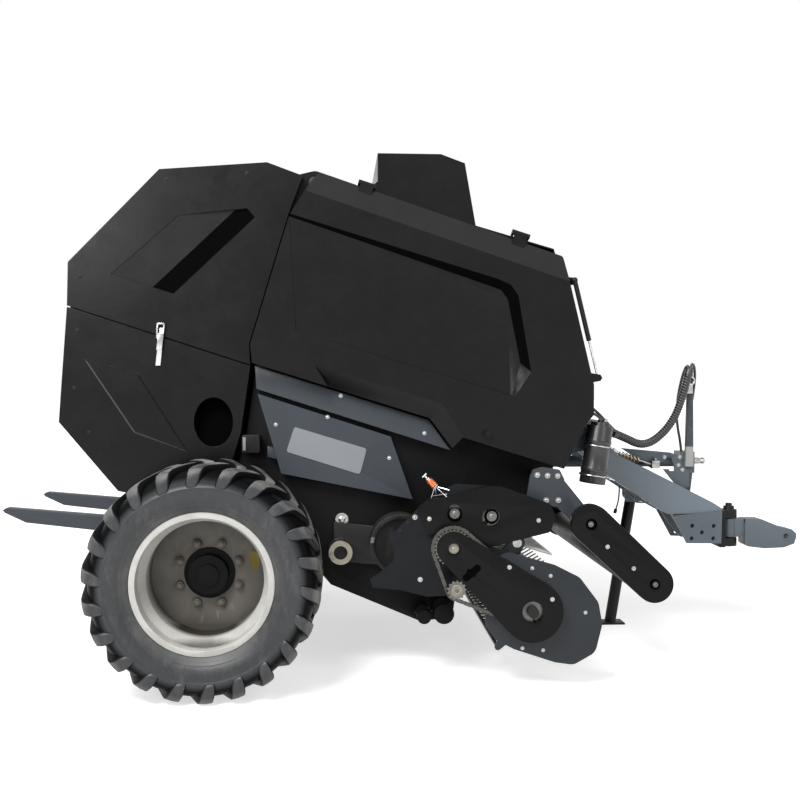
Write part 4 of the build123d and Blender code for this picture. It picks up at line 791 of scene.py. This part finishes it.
def tread_lug(name, side, mirror):
    """One curved lug on the outer or inner half of the tread."""
    mesh = bmesh.new()
    loops = []
    for degrees, half, (foot_r, foot_y), (top_r, top_y) in LUG:
        spread = math.degrees(half / foot_r)
        loop = []
        for share, height in ((-1.18, 0.0), (-1.02, 0.62), (-0.86, 0.96), (0.0, 1.0), (0.86, 0.96), (1.02, 0.62),
                              (1.18, 0.0)):
            radius = foot_r + (top_r - foot_r) * height
            across = foot_y + (top_y - foot_y) * height
            loop.append(mesh.verts.new(tyre_spot(radius, across, degrees + share * spread, side, mirror)))
        loops.append(loop)
    add_skin(mesh, loops)
    return new_piece(name, mesh)


class BALER_OT_wheels(bpy.types.Operator):
    """Builds the tyres with their tread and finishes the rims and hubs"""

    bl_idname = "baler.wheels"
    bl_label = "Wheels"

    def execute(self, context):
        coats = finishes()
        count = context.scene.baler_sizes.lug_count
        inputs = {"Count": "Int", "First angle": "Float", "Axle": "Vector"}
        tree = instance_tree("Tread lugs round the axle", inputs, lugs_round_axle)
        for label, side in (("right", -1), ("left", 1)):
            body = "wheel_" + label
            name = "tyre_%s_carcass" % label
            tyre = add_piece(name, tyre_carcass(side), coats["rubber"], body, 40.0)
            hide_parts("tyre_" + label)
            for half, mirror, first in (("outer", 1, 0.0), ("inner", -1, math.pi / count)):
                lugs = tread_lug("tyre_%s_lugs_%s" % (label, half), side, mirror)
                rounded(lugs, 0.004, angle=35.0)
                grow(lugs, tree, {"Count": count, "First angle": first, "Axle": (AXLE_X, side * TRACK_Y, AXLE_Z),
                                  "Material": coats["tread"]})
                shade(lugs, 38.0)
                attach(lugs, body)
            dress("rim_" + label, coats, "cream", 0.001, 32.0)
            dress("hub_" + label, coats, "deep", 0.0008, 32.0)
        return {"FINISHED"}


# Fasteners: name, body, finish, head radius, height, washer share, sides, whether the left side has them too,
# the CAD node that they sit on, and the side-view places.

FASTENERS = (
    ("shield_screws", "chassis", "zinc", 6.5, 0.55, 1.45, 10, True, "shields_upper",
     ((572, 1263), (955, 1091))),
    ("shield_screws_low", "chassis", "zinc", 6.5, 0.55, 1.45, 10, True, "shields_lower",
     ((512, 1166), (277, 1132), (794, 978))),
    # Painted shade: thin near black discs for the ports' dark insides
    ("case_ports", "chassis", "dark", 32, 0.03, 1.0, 20, False, "drive_hanger", ((1061, 757), (1220, 747))),
    ("case_nuts", "chassis", "steel", 17, 0.75, 1.3, 6, False, "case_ports", ((1060, 762), (1220, 749))),
    ("pivot_nut", "chassis", "ring", 13, 0.5, 1.3, 6, False, "drive_hanger", ((1050, 619),)),
    ("upper_case_screws", "chassis", "zinc", 7, 0.5, 1.4, 10, False, "drive_hanger", ((951, 739), (1425, 729))),
    ("side_plate_bolts", "chassis", "zinc", 8, 0.6, 1.4, 6, False, "drive_hanger", ((892, 741), (915, 470))),
    ("side_plate_plugs", "chassis", "black", 8, 0.25, 1.1, 10, False, "drive_hanger", ((829, 683), (863, 717))),
    ("chain_case_screws", "pickup", "zinc", 7, 0.5, 1.4, 10, False, "pickup_chain_case",
     ((1287, 539), (1472, 400))),
    ("guard_bolts", "pickup", "zinc", 6, 0.6, 1.4, 6, True, "pickup_guards",
     ((1394, 526), (1474, 492), (1626, 331), (1352, 180), (1442, 170))),
    ("crop_arm_screws", "crop_arm", "zinc", 7, 0.5, 1.4, 10, True, "crop_arms", ((1722, 615), (1837, 520))),
    ("arm_top_nuts", "chassis", "steel", 9, 0.5, 1.35, 6, True, "crop_hangers", ((1649, 713),)),
    # Painted shade: a thin near black disc for the bore's dark inside
    ("arm_low_ports", "crop_roller", "dark", 22, 0.03, 1.0, 24, True, "crop_roller", ((1931, 450),)),
    ("arm_low_nuts", "crop_roller", "steel", 9, 0.5, 1.35, 6, True, "arm_low_ports", ((1931, 450),)),
    ("hanger_bolts", "chassis", "zinc", 9, 0.75, 1.4, 6, True, "crop_hangers",
     ((1444, 913), (1490, 910), (1535, 908), (1484, 800), (1539, 800))),
    ("drive_box_bolts", "chassis", "zinc", 8, 0.7, 1.3, 6, False, "pto_box",
     ((2270, 929), (2352, 929), (2345, 887), (2366, 862))),
    ("frame_nut", "chassis", "zinc", 24, 0.8, 1.25, 6, True, "frame_sides", ((577, 690),)),
    ("cover_screws_up", "tailgate", "black", 7, 0.5, 1.4, 10, True, "tailgate_covers_upper",
     ((-600, 1800), (-210, 2240), (150, 2270))),
    ("cover_screws_low", "tailgate", "black", 7, 0.5, 1.4, 10, True, "tailgate_covers_lower",
     ((-610, 1560), (-625, 1300), (-560, 1100))),
)


def seated(name, side, x, z):
    """Where a line from one side first meets a CAD node or a piece, at a side-view place."""
    data = (frame["nodes"].get(name) or bpy.data.objects[name]).data
    tree = BVHTree.FromPolygons([v.co for v in data.vertices], [tuple(p.vertices) for p in data.polygons])
    spot = tree.ray_cast(place(x, side * 1500, z), Vector((0, -side, 0)))[0]
    if spot is None:
        raise RuntimeError("nothing of %s at %s, %s" % (name, x, z))
    return spot


class BALER_OT_fasteners(bpy.types.Operator):
    """Sets screws, bolts and nuts on the panels and brackets"""

    bl_idname = "baler.fasteners"
    bl_label = "Fasteners"

    def execute(self, context):
        coats = finishes()
        for name, body, finish, radius, height, washer, sides, both, seat, places in FASTENERS:
            spots = []
            for side in (-1, 1) if both else (-1,):
                spots += [(seated(seat, side, x, z), (0, side, 0), radius / 1000) for x, z in places]
            add_bolts(name, body, spots, coats[finish], height, washer, sides)
        return {"FINISHED"}


# Hoses

LOOM_ROUTE = ((1820.3, -300, 1090), (1880, -300, 1090), (1990, -262, 1050), (2121, -205, 991), (2247, -165, 1069),
              (2335, -130, 1201), (2385, -110.5, 1386))
LEADS = (
    ("lead_top", ((1705, -322, 1236), (1762, -322, 1230), (1842, -314, 1186), (1905, -292, 1122),
                  (1953, -276, 1078))),
    ("lead_middle", ((1705, -350, 1200), (1770, -350, 1196), (1846, -338, 1160), (1908, -305, 1108),
                     (1956, -282, 1074))),
    ("lead_low", ((1821, -360, 1112), (1852, -358, 1120), (1888, -340, 1110), (1925, -306, 1092),
                  (1958, -284, 1070))),
)
TAILS = (
    ("tail_front", ((2381, -112, 1352), (2390, -108, 1392), (2404, -92, 1419), (2424, -66, 1412),
                    (2436, -48, 1362), (2432, -42, 1290), (2420, -40, 1210), (2408, -40, 1120), (2402, -40, 1040),
                    (2400, -40, 957))),
    ("tail_rear", ((2376, -108, 1350), (2384, -98, 1394), (2388, -74, 1412), (2378, -52, 1390), (2360, -44, 1320),
                   (2346, -40, 1240), (2340, -40, 1160), (2346, -40, 1080), (2360, -40, 1015), (2366, -40, 957))),
)
HANGERS = (
    ("brake_lead", ((2007, -150, 794), (2008, -150, 770), (2006, -150, 735), (2001, -150, 698), (1990, -150, 668)),
     "plug", True),
    ("sensor_lead", ((2020, -160, 786), (2024, -160, 762), (2050, -160, 728), (2090, -160, 704), (2130, -160, 700),
                     (2158, -160, 706)), "object", False),
)
HANGER_RADIUS = 0.004


def hose(coats, name, points, radius):
    """A plain round hose or lead on the chassis along a route."""
    steps, length = route_steps(name, points, radius * 1.6)
    mesh = bmesh.new()
    add_tube(mesh, steps, [radius] * len(steps), 10)
    piece = add_piece(name, mesh, coats["hose"], "chassis", 60.0)


def loom_sleeve(coats, sizes):
    """The loom: bare hoses by the frame, then the ribbed sleeve up to the post with a cuff at each end."""
    steps, length = route_steps("hose_loom", LOOM_ROUTE, sizes.loom_pitch / 4)
    bare, bare_radius, low_cuff, high_cuff = 0.125, 0.011, 0.022, 0.03
    full = sizes.loom_radius
    radii = []
    for i in range(len(steps)):
        along = length * i / (len(steps) - 1)
        if along < bare:
            radii.append(bare_radius)
        elif along < bare + low_cuff or along > length - high_cuff:
            radii.append(full * 1.04)
        else:
            radii.append(full * (0.80, 0.97, 1.0, 0.97)[i % 4])
    mesh = bmesh.new()
    add_tube(mesh, steps, radii, 24)
    piece = add_piece("hose_loom_sleeve", mesh, coats["hose"], "chassis", 50.0)
    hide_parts("hose_loom")


class BALER_OT_hoses(bpy.types.Operator):
    """Runs the ribbed sleeve, the leads into it, the tails down the post and the two hanging leads"""

    bl_idname = "baler.hoses"
    bl_label = "Hoses"

    def execute(self, context):
        coats = finishes()
        sizes = context.scene.baler_sizes
        loom_sleeve(coats, sizes)
        for name, points in LEADS + TAILS:
            hose(coats, name, points, sizes.lead_radius)
        mesh = bmesh.new()
        add_rod(mesh, place(1991, -150, 670), place(1984, -150, 646), 0.009, 12, 0.4)
        plug = add_piece("brake_lead_plug", mesh, coats["black"], "chassis")
        for name, points, far_end, on_it in HANGERS:
            hose(coats, name, points, HANGER_RADIUS)
        return {"FINISHED"}


# Fittings


def plates(coats, name, outline, y_from, y_to, finish, body, smooth=35.0, soft=None, sides=(-1,)):
    """The same plate on the right side, or on both, as one piece."""
    mesh = bmesh.new()
    for side in sides:
        add_plate(mesh, outline, side * y_from, side * y_to)
    add_piece(name, mesh, coats[finish], body, smooth, soft)


def return_spring(coats):
    """The return spring on its guide rod beside the drive box's bracket plate, with the rod's clamp block."""
    start, end = place(2030, -80, 948), place(2122, -80, 917)
    axis = (end - start).normalized()
    coils, per_coil = 5, 20
    around = circle(*frame_across(axis), 0.0125, per_coil)
    steps = coils * per_coil
    path = [start + (end - start) * (i / steps) + around[i % per_coil] for i in range(steps + 1)]
    mesh = bmesh.new()
    add_tube(mesh, path, [0.0036] * len(path), 8)
    add_piece("return_spring", mesh, coats["brass"], "chassis", 50.0)
    mesh = bmesh.new()
    add_rod(mesh, start - axis * 0.03, place(2215, -80, 886), 0.005, 12)
    add_rod(mesh, start - axis * 0.008, start - axis * 0.001, 0.013, 16)
    add_rod(mesh, end + axis * 0.001, end + axis * 0.008, 0.013, 16)
    add_plate(mesh, ((2196, 874), (2236, 874), (2236, 912), (2196, 912)), -94, -60)
    add_rod(mesh, place(2216, -80, 912), place(2216, -80, 926), 0.008, 12)
    add_piece("return_spring_rod", mesh, coats["zinc"], "chassis", soft=(0.001,))


def splined_shaft(coats):
    """The drive input's end: six splines with a locking groove, behind them the round journal."""
    low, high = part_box("pto_stub")
    centre = (low + high) / 2
    journal, splines, groove, chamfer = (0.0219, 0.0219), (0.0149, 0.01744), (0.0142, 0.0142), 0.88
    spans = ((2.385, journal), (2.436, journal), (2.4362, splines), (2.474, splines), (2.4755, groove),
             (2.4835, groove), (2.485, splines), (2.4985, splines), (2.502, [r * chamfer for r in splines]))
    mesh = bmesh.new()
    loops = []
    for x, (root, tip) in spans:
        loop = []
        for spline in range(6):
            for radius, share in ((tip, 0.0), (tip, 0.42), (root, 0.54), (root, 0.88)):
                turn = 2 * math.pi * (spline + share) / 6
                spot = (AXLE_X + x, centre.y + radius * math.cos(turn), centre.z + radius * math.sin(turn))
                loop.append(mesh.verts.new(spot))
        loops.append(loop)
    add_skin(mesh, loops)
    piece = add_piece("splined_shaft", mesh, coats["zinc"], "pto", 30.0)
    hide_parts("pto_stub")


def canister_hoops(coats):
    """Two clamp hoops round the canister, with their screw tails, and the filler cap's bolt."""
    low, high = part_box("oil_canister")
    middle = (low + high) / 2
    lean = math.radians(8)
    tilt = Vector((math.sin(lean), 0, math.cos(lean)))
    mesh = bmesh.new()
    for height in (0.030, -0.108):
        centre = middle + tilt * height
        add_ring(mesh, centre, tilt, 0.0625, 0.0042, 48, 10)
        tail = centre + Vector((0.060, -0.020, -0.009))
        add_rod(mesh, tail, tail + Vector((0.036, 0.0, -0.016)), 0.0042, 10)
        add_rod(mesh, tail + Vector((0.014, 0.010, -0.006)), tail + Vector((0.014, -0.014, -0.006)), 0.007, 6)
    add_piece("canister_hoops", mesh, coats["bright"], "chassis", 40.0)
    cap = middle + tilt * 0.146 + Vector((0.018, -0.022, 0))
    add_bolts("canister_bolt", "chassis", [(cap, tuple(tilt), 0.011)], coats["bright"], 0.9, 1.3)


def drip_oiler(coats):
    """The copper-red oiler on its wire stand over the upper drive case."""
    base, top = place(978, -1015, 877), place(944, -1015, 911)
    axis = (top - base).normalized()
    mesh = bmesh.new()
    cup = ((0, 0), (0.013, 0), (0.0165, 0.004), (0.0165, 0.034), (0.013, 0.040), (0, 0.040))
    add_lathe(mesh, base, axis, cup, 24)
    add_piece("oiler_cup", mesh, coats["copper"], "chassis")
    mesh = bmesh.new()
    for start, end, radius, steps in ((-0.004, 0.001, 0.017, 20), (0.040, 0.050, 0.010, 12),
                                      (0.050, 0.068, 0.0045, 10)):
        add_rod(mesh, base + axis * start, base + axis * end, radius, steps)
    cross = Vector((axis.z, 0, -axis.x))
    knob = base + axis * 0.066
    add_rod(mesh, knob - cross * 0.013, knob + cross * 0.013, 0.004, 10)
    for foot in (place(961, -999, 817), place(1026, -1041, 833), place(1037, -1041, 862), place(985, -999, 828)):
        add_rod(mesh, base + (foot - base).normalized() * 0.004, foot, 0.0028, 8)
    add_rod(mesh, place(965, -1000, 832), place(1028, -1040, 846), 0.0026, 8)
    add_piece("oiler_stand", mesh, coats["bright"], "chassis")


def post_clamp(coats):
    """The hose clamp and lifting ring at the top of the hose post."""
    plates(coats, "post_clamp", ((2366, 1262), (2408, 1262), (2408, 1312), (2366, 1312)), 100, 88, "zinc",
           "chassis", soft=(0.003, 3))
    mesh = bmesh.new()
    add_ring(mesh, place(2397, -96, 1330), Vector((0, 1, 0)), 0.019, 0.0055, 36, 12)
    add_rod(mesh, place(2397, -96, 1300), place(2397, -96, 1314), 0.006, 12)
    add_piece("post_ring", mesh, coats["bright"], "chassis", 50.0)
    add_bolts("post_bolt", "chassis", [(place(2387, -100, 1287), (0, -1, 0), 0.008)], coats["zinc"])


def lamp_faces(coats):
    """The pale reflector strip on each side lamp and the small block beside each lower shield."""
    plates(coats, "lamp_strips", ((130, 1016), (143, 1016), (143, 1076), (130, 1076)), 742, 740, "plate",
           "chassis", soft=(0.0006,), sides=(-1, 1))
    plates(coats, "shield_brackets", ((238, 985), (280, 972), (280, 1020), (238, 1033)), 700, 652, "slate",
           "chassis", soft=(0.002,), sides=(-1, 1))


def bearings(coats):
    """The ball bearings' faces at the frame and at the chain's idler, and the idler's teeth."""
    for name, body, centre, radii, depth in (
            ("frame_bearing", "chassis", place(571, -760, 552), (0.031, 0.038, 0.045, 0.0545), 0.006),
            ("idler_bearing", "pickup", place(1062, -1110.4, 444), (0.009, 0.014, 0.021, 0.026), 0.010)):
        hole, inner, seal, outer = radii
        edge, sunk = 0.001, depth * 0.6
        profile = ((hole, 0), (outer, 0), (outer, depth - edge), (outer - edge, depth), (seal, depth),
                   (seal, sunk), (inner, sunk), (inner, depth), (hole, depth), (hole, 0))
        mesh = bmesh.new()
        add_lathe(mesh, centre, Vector((0, -1, 0)), profile, 36)
        bmesh.ops.remove_doubles(mesh, verts=mesh.verts, dist=1e-6)
        add_piece(name, mesh, coats["ring"], body)
    teeth, tip, root = 13, 41.5, 35.0
    outline = []
    for i in range(teeth * 4):
        turn = 2 * math.pi * i / (teeth * 4)
        reach = tip if i % 4 < 2 else root
        outline.append((1062 + reach * math.cos(turn), 444 + reach * math.sin(turn)))
    plates(coats, "idler_teeth", outline, 1110.4, 1114.4, "steel", "pickup", 30.0)


def cover_holes(coats):
    """Painted shade: a near black sheet behind the oval hole in each lower cover, for its dark inside."""
    depth = abs(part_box("tailgate_shell")[0].y) * 1000
    turns = [t * math.pi / 20 for t in range(40)]
    outline = [(-4 + 92 * math.cos(turn), 1144 + 116 * math.sin(turn)) for turn in turns]
    plates(coats, "cover_hole_backs", outline, depth + 0.2, depth + 1.2, "dark", "tailgate",
           sides=(-1, 1))


def arm_ports(coats):
    """The bearings seen in the crop arms' bores as near black discs of painted shade, with their nuts."""
    for side, hand in ((-1, "right"), (1, "left")):
        for label, x, z in (("top", 1649, 713), ("low", 1931, 450)):
            mesh = bmesh.new()
            inner, outer = (place(x, side * y, z) for y in (1044, 1054))
            add_rod(mesh, inner, outer, 0.024, 28, 0.05)
            name = "arm_port_%s_%s" % (label, hand)
            add_piece(name, mesh, coats["dark"], "crop_arm")
            add_bolts(name + "_nut", "crop_arm", [(outer, (0, side, 0), 0.008)], coats["steel"], 0.5, 1.3)


def rim_plate(coats):
    """The small blank plate that lies over the slope of the right wheel's disc."""
    columns, rows = 6, 9
    # The disc's outer face stands 913 mm out, and slopes 28 mm further out over 54 mm of radius from 167 mm on.
    flat, rise, first_radius, wide, clear = 913, 28, 167, 54, 1.2
    mesh = bmesh.new()
    lines = []
    for i in range(columns + 1):
        line = []
        for k in range(rows + 1):
            x, z = 172 + 42 * i / columns + 0.5 * k, 508 + 80 * k / rows
            share = min(max((math.hypot(x, z - AXLE_Z * 1000) - first_radius) / wide, 0), 1)
            line.append(mesh.verts.new(place(x, -(flat + rise * share) - clear, z)))
        lines.append(line)
    for first, second in zip(lines, lines[1:]):
        for corners in zip(first, first[1:], second[1:], second):
            mesh.faces.new(corners)
    bmesh.ops.recalc_face_normals(mesh, faces=mesh.faces)
    bmesh.ops.solidify(mesh, geom=mesh.faces[:], thickness=0.0008)
    add_piece("rim_plate", mesh, coats["yellow"], "wheel_right")


def case_slot(coats):
    """The slot in the pickup's chain case, as a near black plate of painted shade."""
    low = abs(seated("pickup_chain_case", -1, 1170, 470).y) * 1000
    radius, half, lean_x, lean_z = 16, 30, 0.768, 0.640
    outline = []
    for i in range(28):
        turn = math.pi * 2 * i / 28
        along = radius * math.cos(turn) + (half if math.cos(turn) > 0 else -half)
        across = radius * math.sin(turn)
        outline.append((1126 + along * lean_x - across * lean_z, 516 + along * lean_z + across * lean_x))
    plates(coats, "case_slot", outline, low - 0.4, low + 0.5, "dark", "pickup")


class BALER_OT_fittings(bpy.types.Operator):
    """Adds the spring, splined shaft, hoops, oiler, clamp, lamp strips, bearings, openings in painted shade and
    rim plate
    """

    bl_idname = "baler.fittings"
    bl_label = "Fittings"

    def execute(self, context):
        coats = finishes()
        for make in (return_spring, splined_shaft, canister_hoops, drip_oiler, post_clamp, lamp_faces, bearings,
                     cover_holes, arm_ports, rim_plate, case_slot):
            make(coats)
        return {"FINISHED"}


# Stage

WHITE = (1, 1, 1, 1)
CAMERA_AT = (-0.4125, -5.740, 1.344)
CAMERA_DOWN, CAMERA_ASIDE = 1.146, 3.226  # degrees below level, and forward of straight across the machine


def seen_rays(nodes):
    """One where the camera, a reflection or glass looks, and nothing for the light on the machine."""
    rays = nodes.add("ShaderNodeLightPath").outputs
    first = nodes.math("MAXIMUM", rays["Is Camera Ray"], rays["Is Glossy Ray"])
    return nodes.math("MAXIMUM", first, rays["Is Transmission Ray"])


def add_floor():
    """A pale floor that looks white, and keeps the machine's shadow."""
    mesh = bmesh.new()
    bmesh.ops.create_grid(mesh, x_segments=1, y_segments=1, size=60)
    floor = new_piece("Floor", mesh)
    coat = Coat("Pale floor")
    matt = coat.add("ShaderNodeBsdfPrincipled", {"Base Color": (0.82, 0.82, 0.82, 1), "Roughness": 0.95,
                                                 "Specular IOR Level": 0.0}).outputs[0]
    reach = coat.add("ShaderNodeVectorMath", {0: coat.coords}, operation="LENGTH").outputs["Value"]
    glow = coat.add("ShaderNodeEmission", {"Strength": coat.band(reach, 2.0, 5.5, 0.62, 1.0)})
    both = coat.add("ShaderNodeAddShader", {0: matt, 1: glow.outputs[0]})
    mix = coat.add("ShaderNodeMixShader", {0: seen_rays(coat), 1: matt, 2: both.outputs[0]})
    coat.add("ShaderNodeOutputMaterial", {"Surface": mix.outputs[0]})
    floor.data.materials.append(coat.material)


def add_sky(strength):
    """Even light from all round, white to the camera and in reflections."""
    world = bpy.data.worlds.new("Studio sky")
    bpy.context.scene.world = world
    world.use_nodes = True
    nodes = Nodes(world.node_tree)
    soft = nodes.add("ShaderNodeBackground", {"Color": WHITE, "Strength": strength})
    white = nodes.add("ShaderNodeBackground", {"Color": WHITE, "Strength": 1.0})
    mix = nodes.add("ShaderNodeMixShader", {0: seen_rays(nodes), 1: soft.outputs[0], 2: white.outputs[0]})
    nodes.add("ShaderNodeOutputWorld", {"Surface": mix.outputs[0]})


def add_light(name, spot, target, size, power):
    """A square light that looks at a target."""
    data = bpy.data.lights.new(name, "AREA")
    data.shape = "SQUARE"
    data.size = size
    data.energy = power
    lamp = linked(name, data)
    lamp.location = spot
    lamp.rotation_euler = (Vector(target) - Vector(spot)).to_track_quat("-Z", "Y").to_euler()


class BALER_OT_stage(bpy.types.Operator):
    """Sets the floor, the lights and the camera"""

    bl_idname = "baler.stage"
    bl_label = "Stage"

    def execute(self, context):
        studio = context.scene.baler_studio
        add_floor()
        add_sky(studio.sky)
        add_light("Key light", (-2.8, -4.8, 5.8), (0.0, -0.6, 0.9), 3.0, studio.key_power)
        add_light("Fill light", (4.0, -5.6, 4.2), (0.6, -0.6, 0.8), 3.0, studio.fill_power)
        add_light("Rear softbox", (-3.1, -6.2, 3.0), (-1.7, -0.7, 1.9), 1.1, studio.rear_power)
        camera = bpy.data.cameras.new("Camera")
        camera.lens = studio.lens
        camera.sensor_width = 36.0
        view = linked("Camera", camera)
        view.location = CAMERA_AT
        view.rotation_euler = (math.radians(90 - CAMERA_DOWN), 0, math.radians(-CAMERA_ASIDE))
        context.scene.camera = view
        context.scene.view_settings.view_transform = "Standard"
        return {"FINISHED"}


class BALER_PT_sidebar(bpy.types.Panel):
    """Lists the paints, the sizes, the studio and the steps"""

    bl_label = "Baler"
    bl_idname = "BALER_PT_sidebar"
    bl_space_type = "VIEW_3D"
    bl_region_type = "UI"
    bl_category = "Baler"

    def draw(self, context):
        layout = self.layout
        scene = context.scene
        for group in (scene.baler_paint, scene.baler_sizes, scene.baler_studio):
            box = layout.box()
            for name in group.__annotations__:
                box.prop(group, name)
        for step in STEPS:
            layout.operator(step.bl_idname)


STEPS = (BALER_OT_stage, BALER_OT_hoses, BALER_OT_panels, BALER_OT_wheels, BALER_OT_fasteners, BALER_OT_fittings)
GROUPS = (("baler_paint", BALER_PG_paint), ("baler_sizes", BALER_PG_sizes), ("baler_studio", BALER_PG_studio))
CLASSES = (*[group for _, group in GROUPS], *STEPS, BALER_PT_sidebar)


def register():
    for cls in CLASSES:
        bpy.utils.register_class(cls)
    for name, group in GROUPS:
        setattr(bpy.types.Scene, name, bpy.props.PointerProperty(type=group))


def unregister():
    for name, _ in GROUPS:
        delattr(bpy.types.Scene, name)
    for cls in reversed(CLASSES):
        bpy.utils.unregister_class(cls)


def main():
    register()
    for step in STEPS:
        area, name = step.bl_idname.split(".")
        getattr(getattr(bpy.ops, area), name)()


if __name__ == "__main__":
    main()
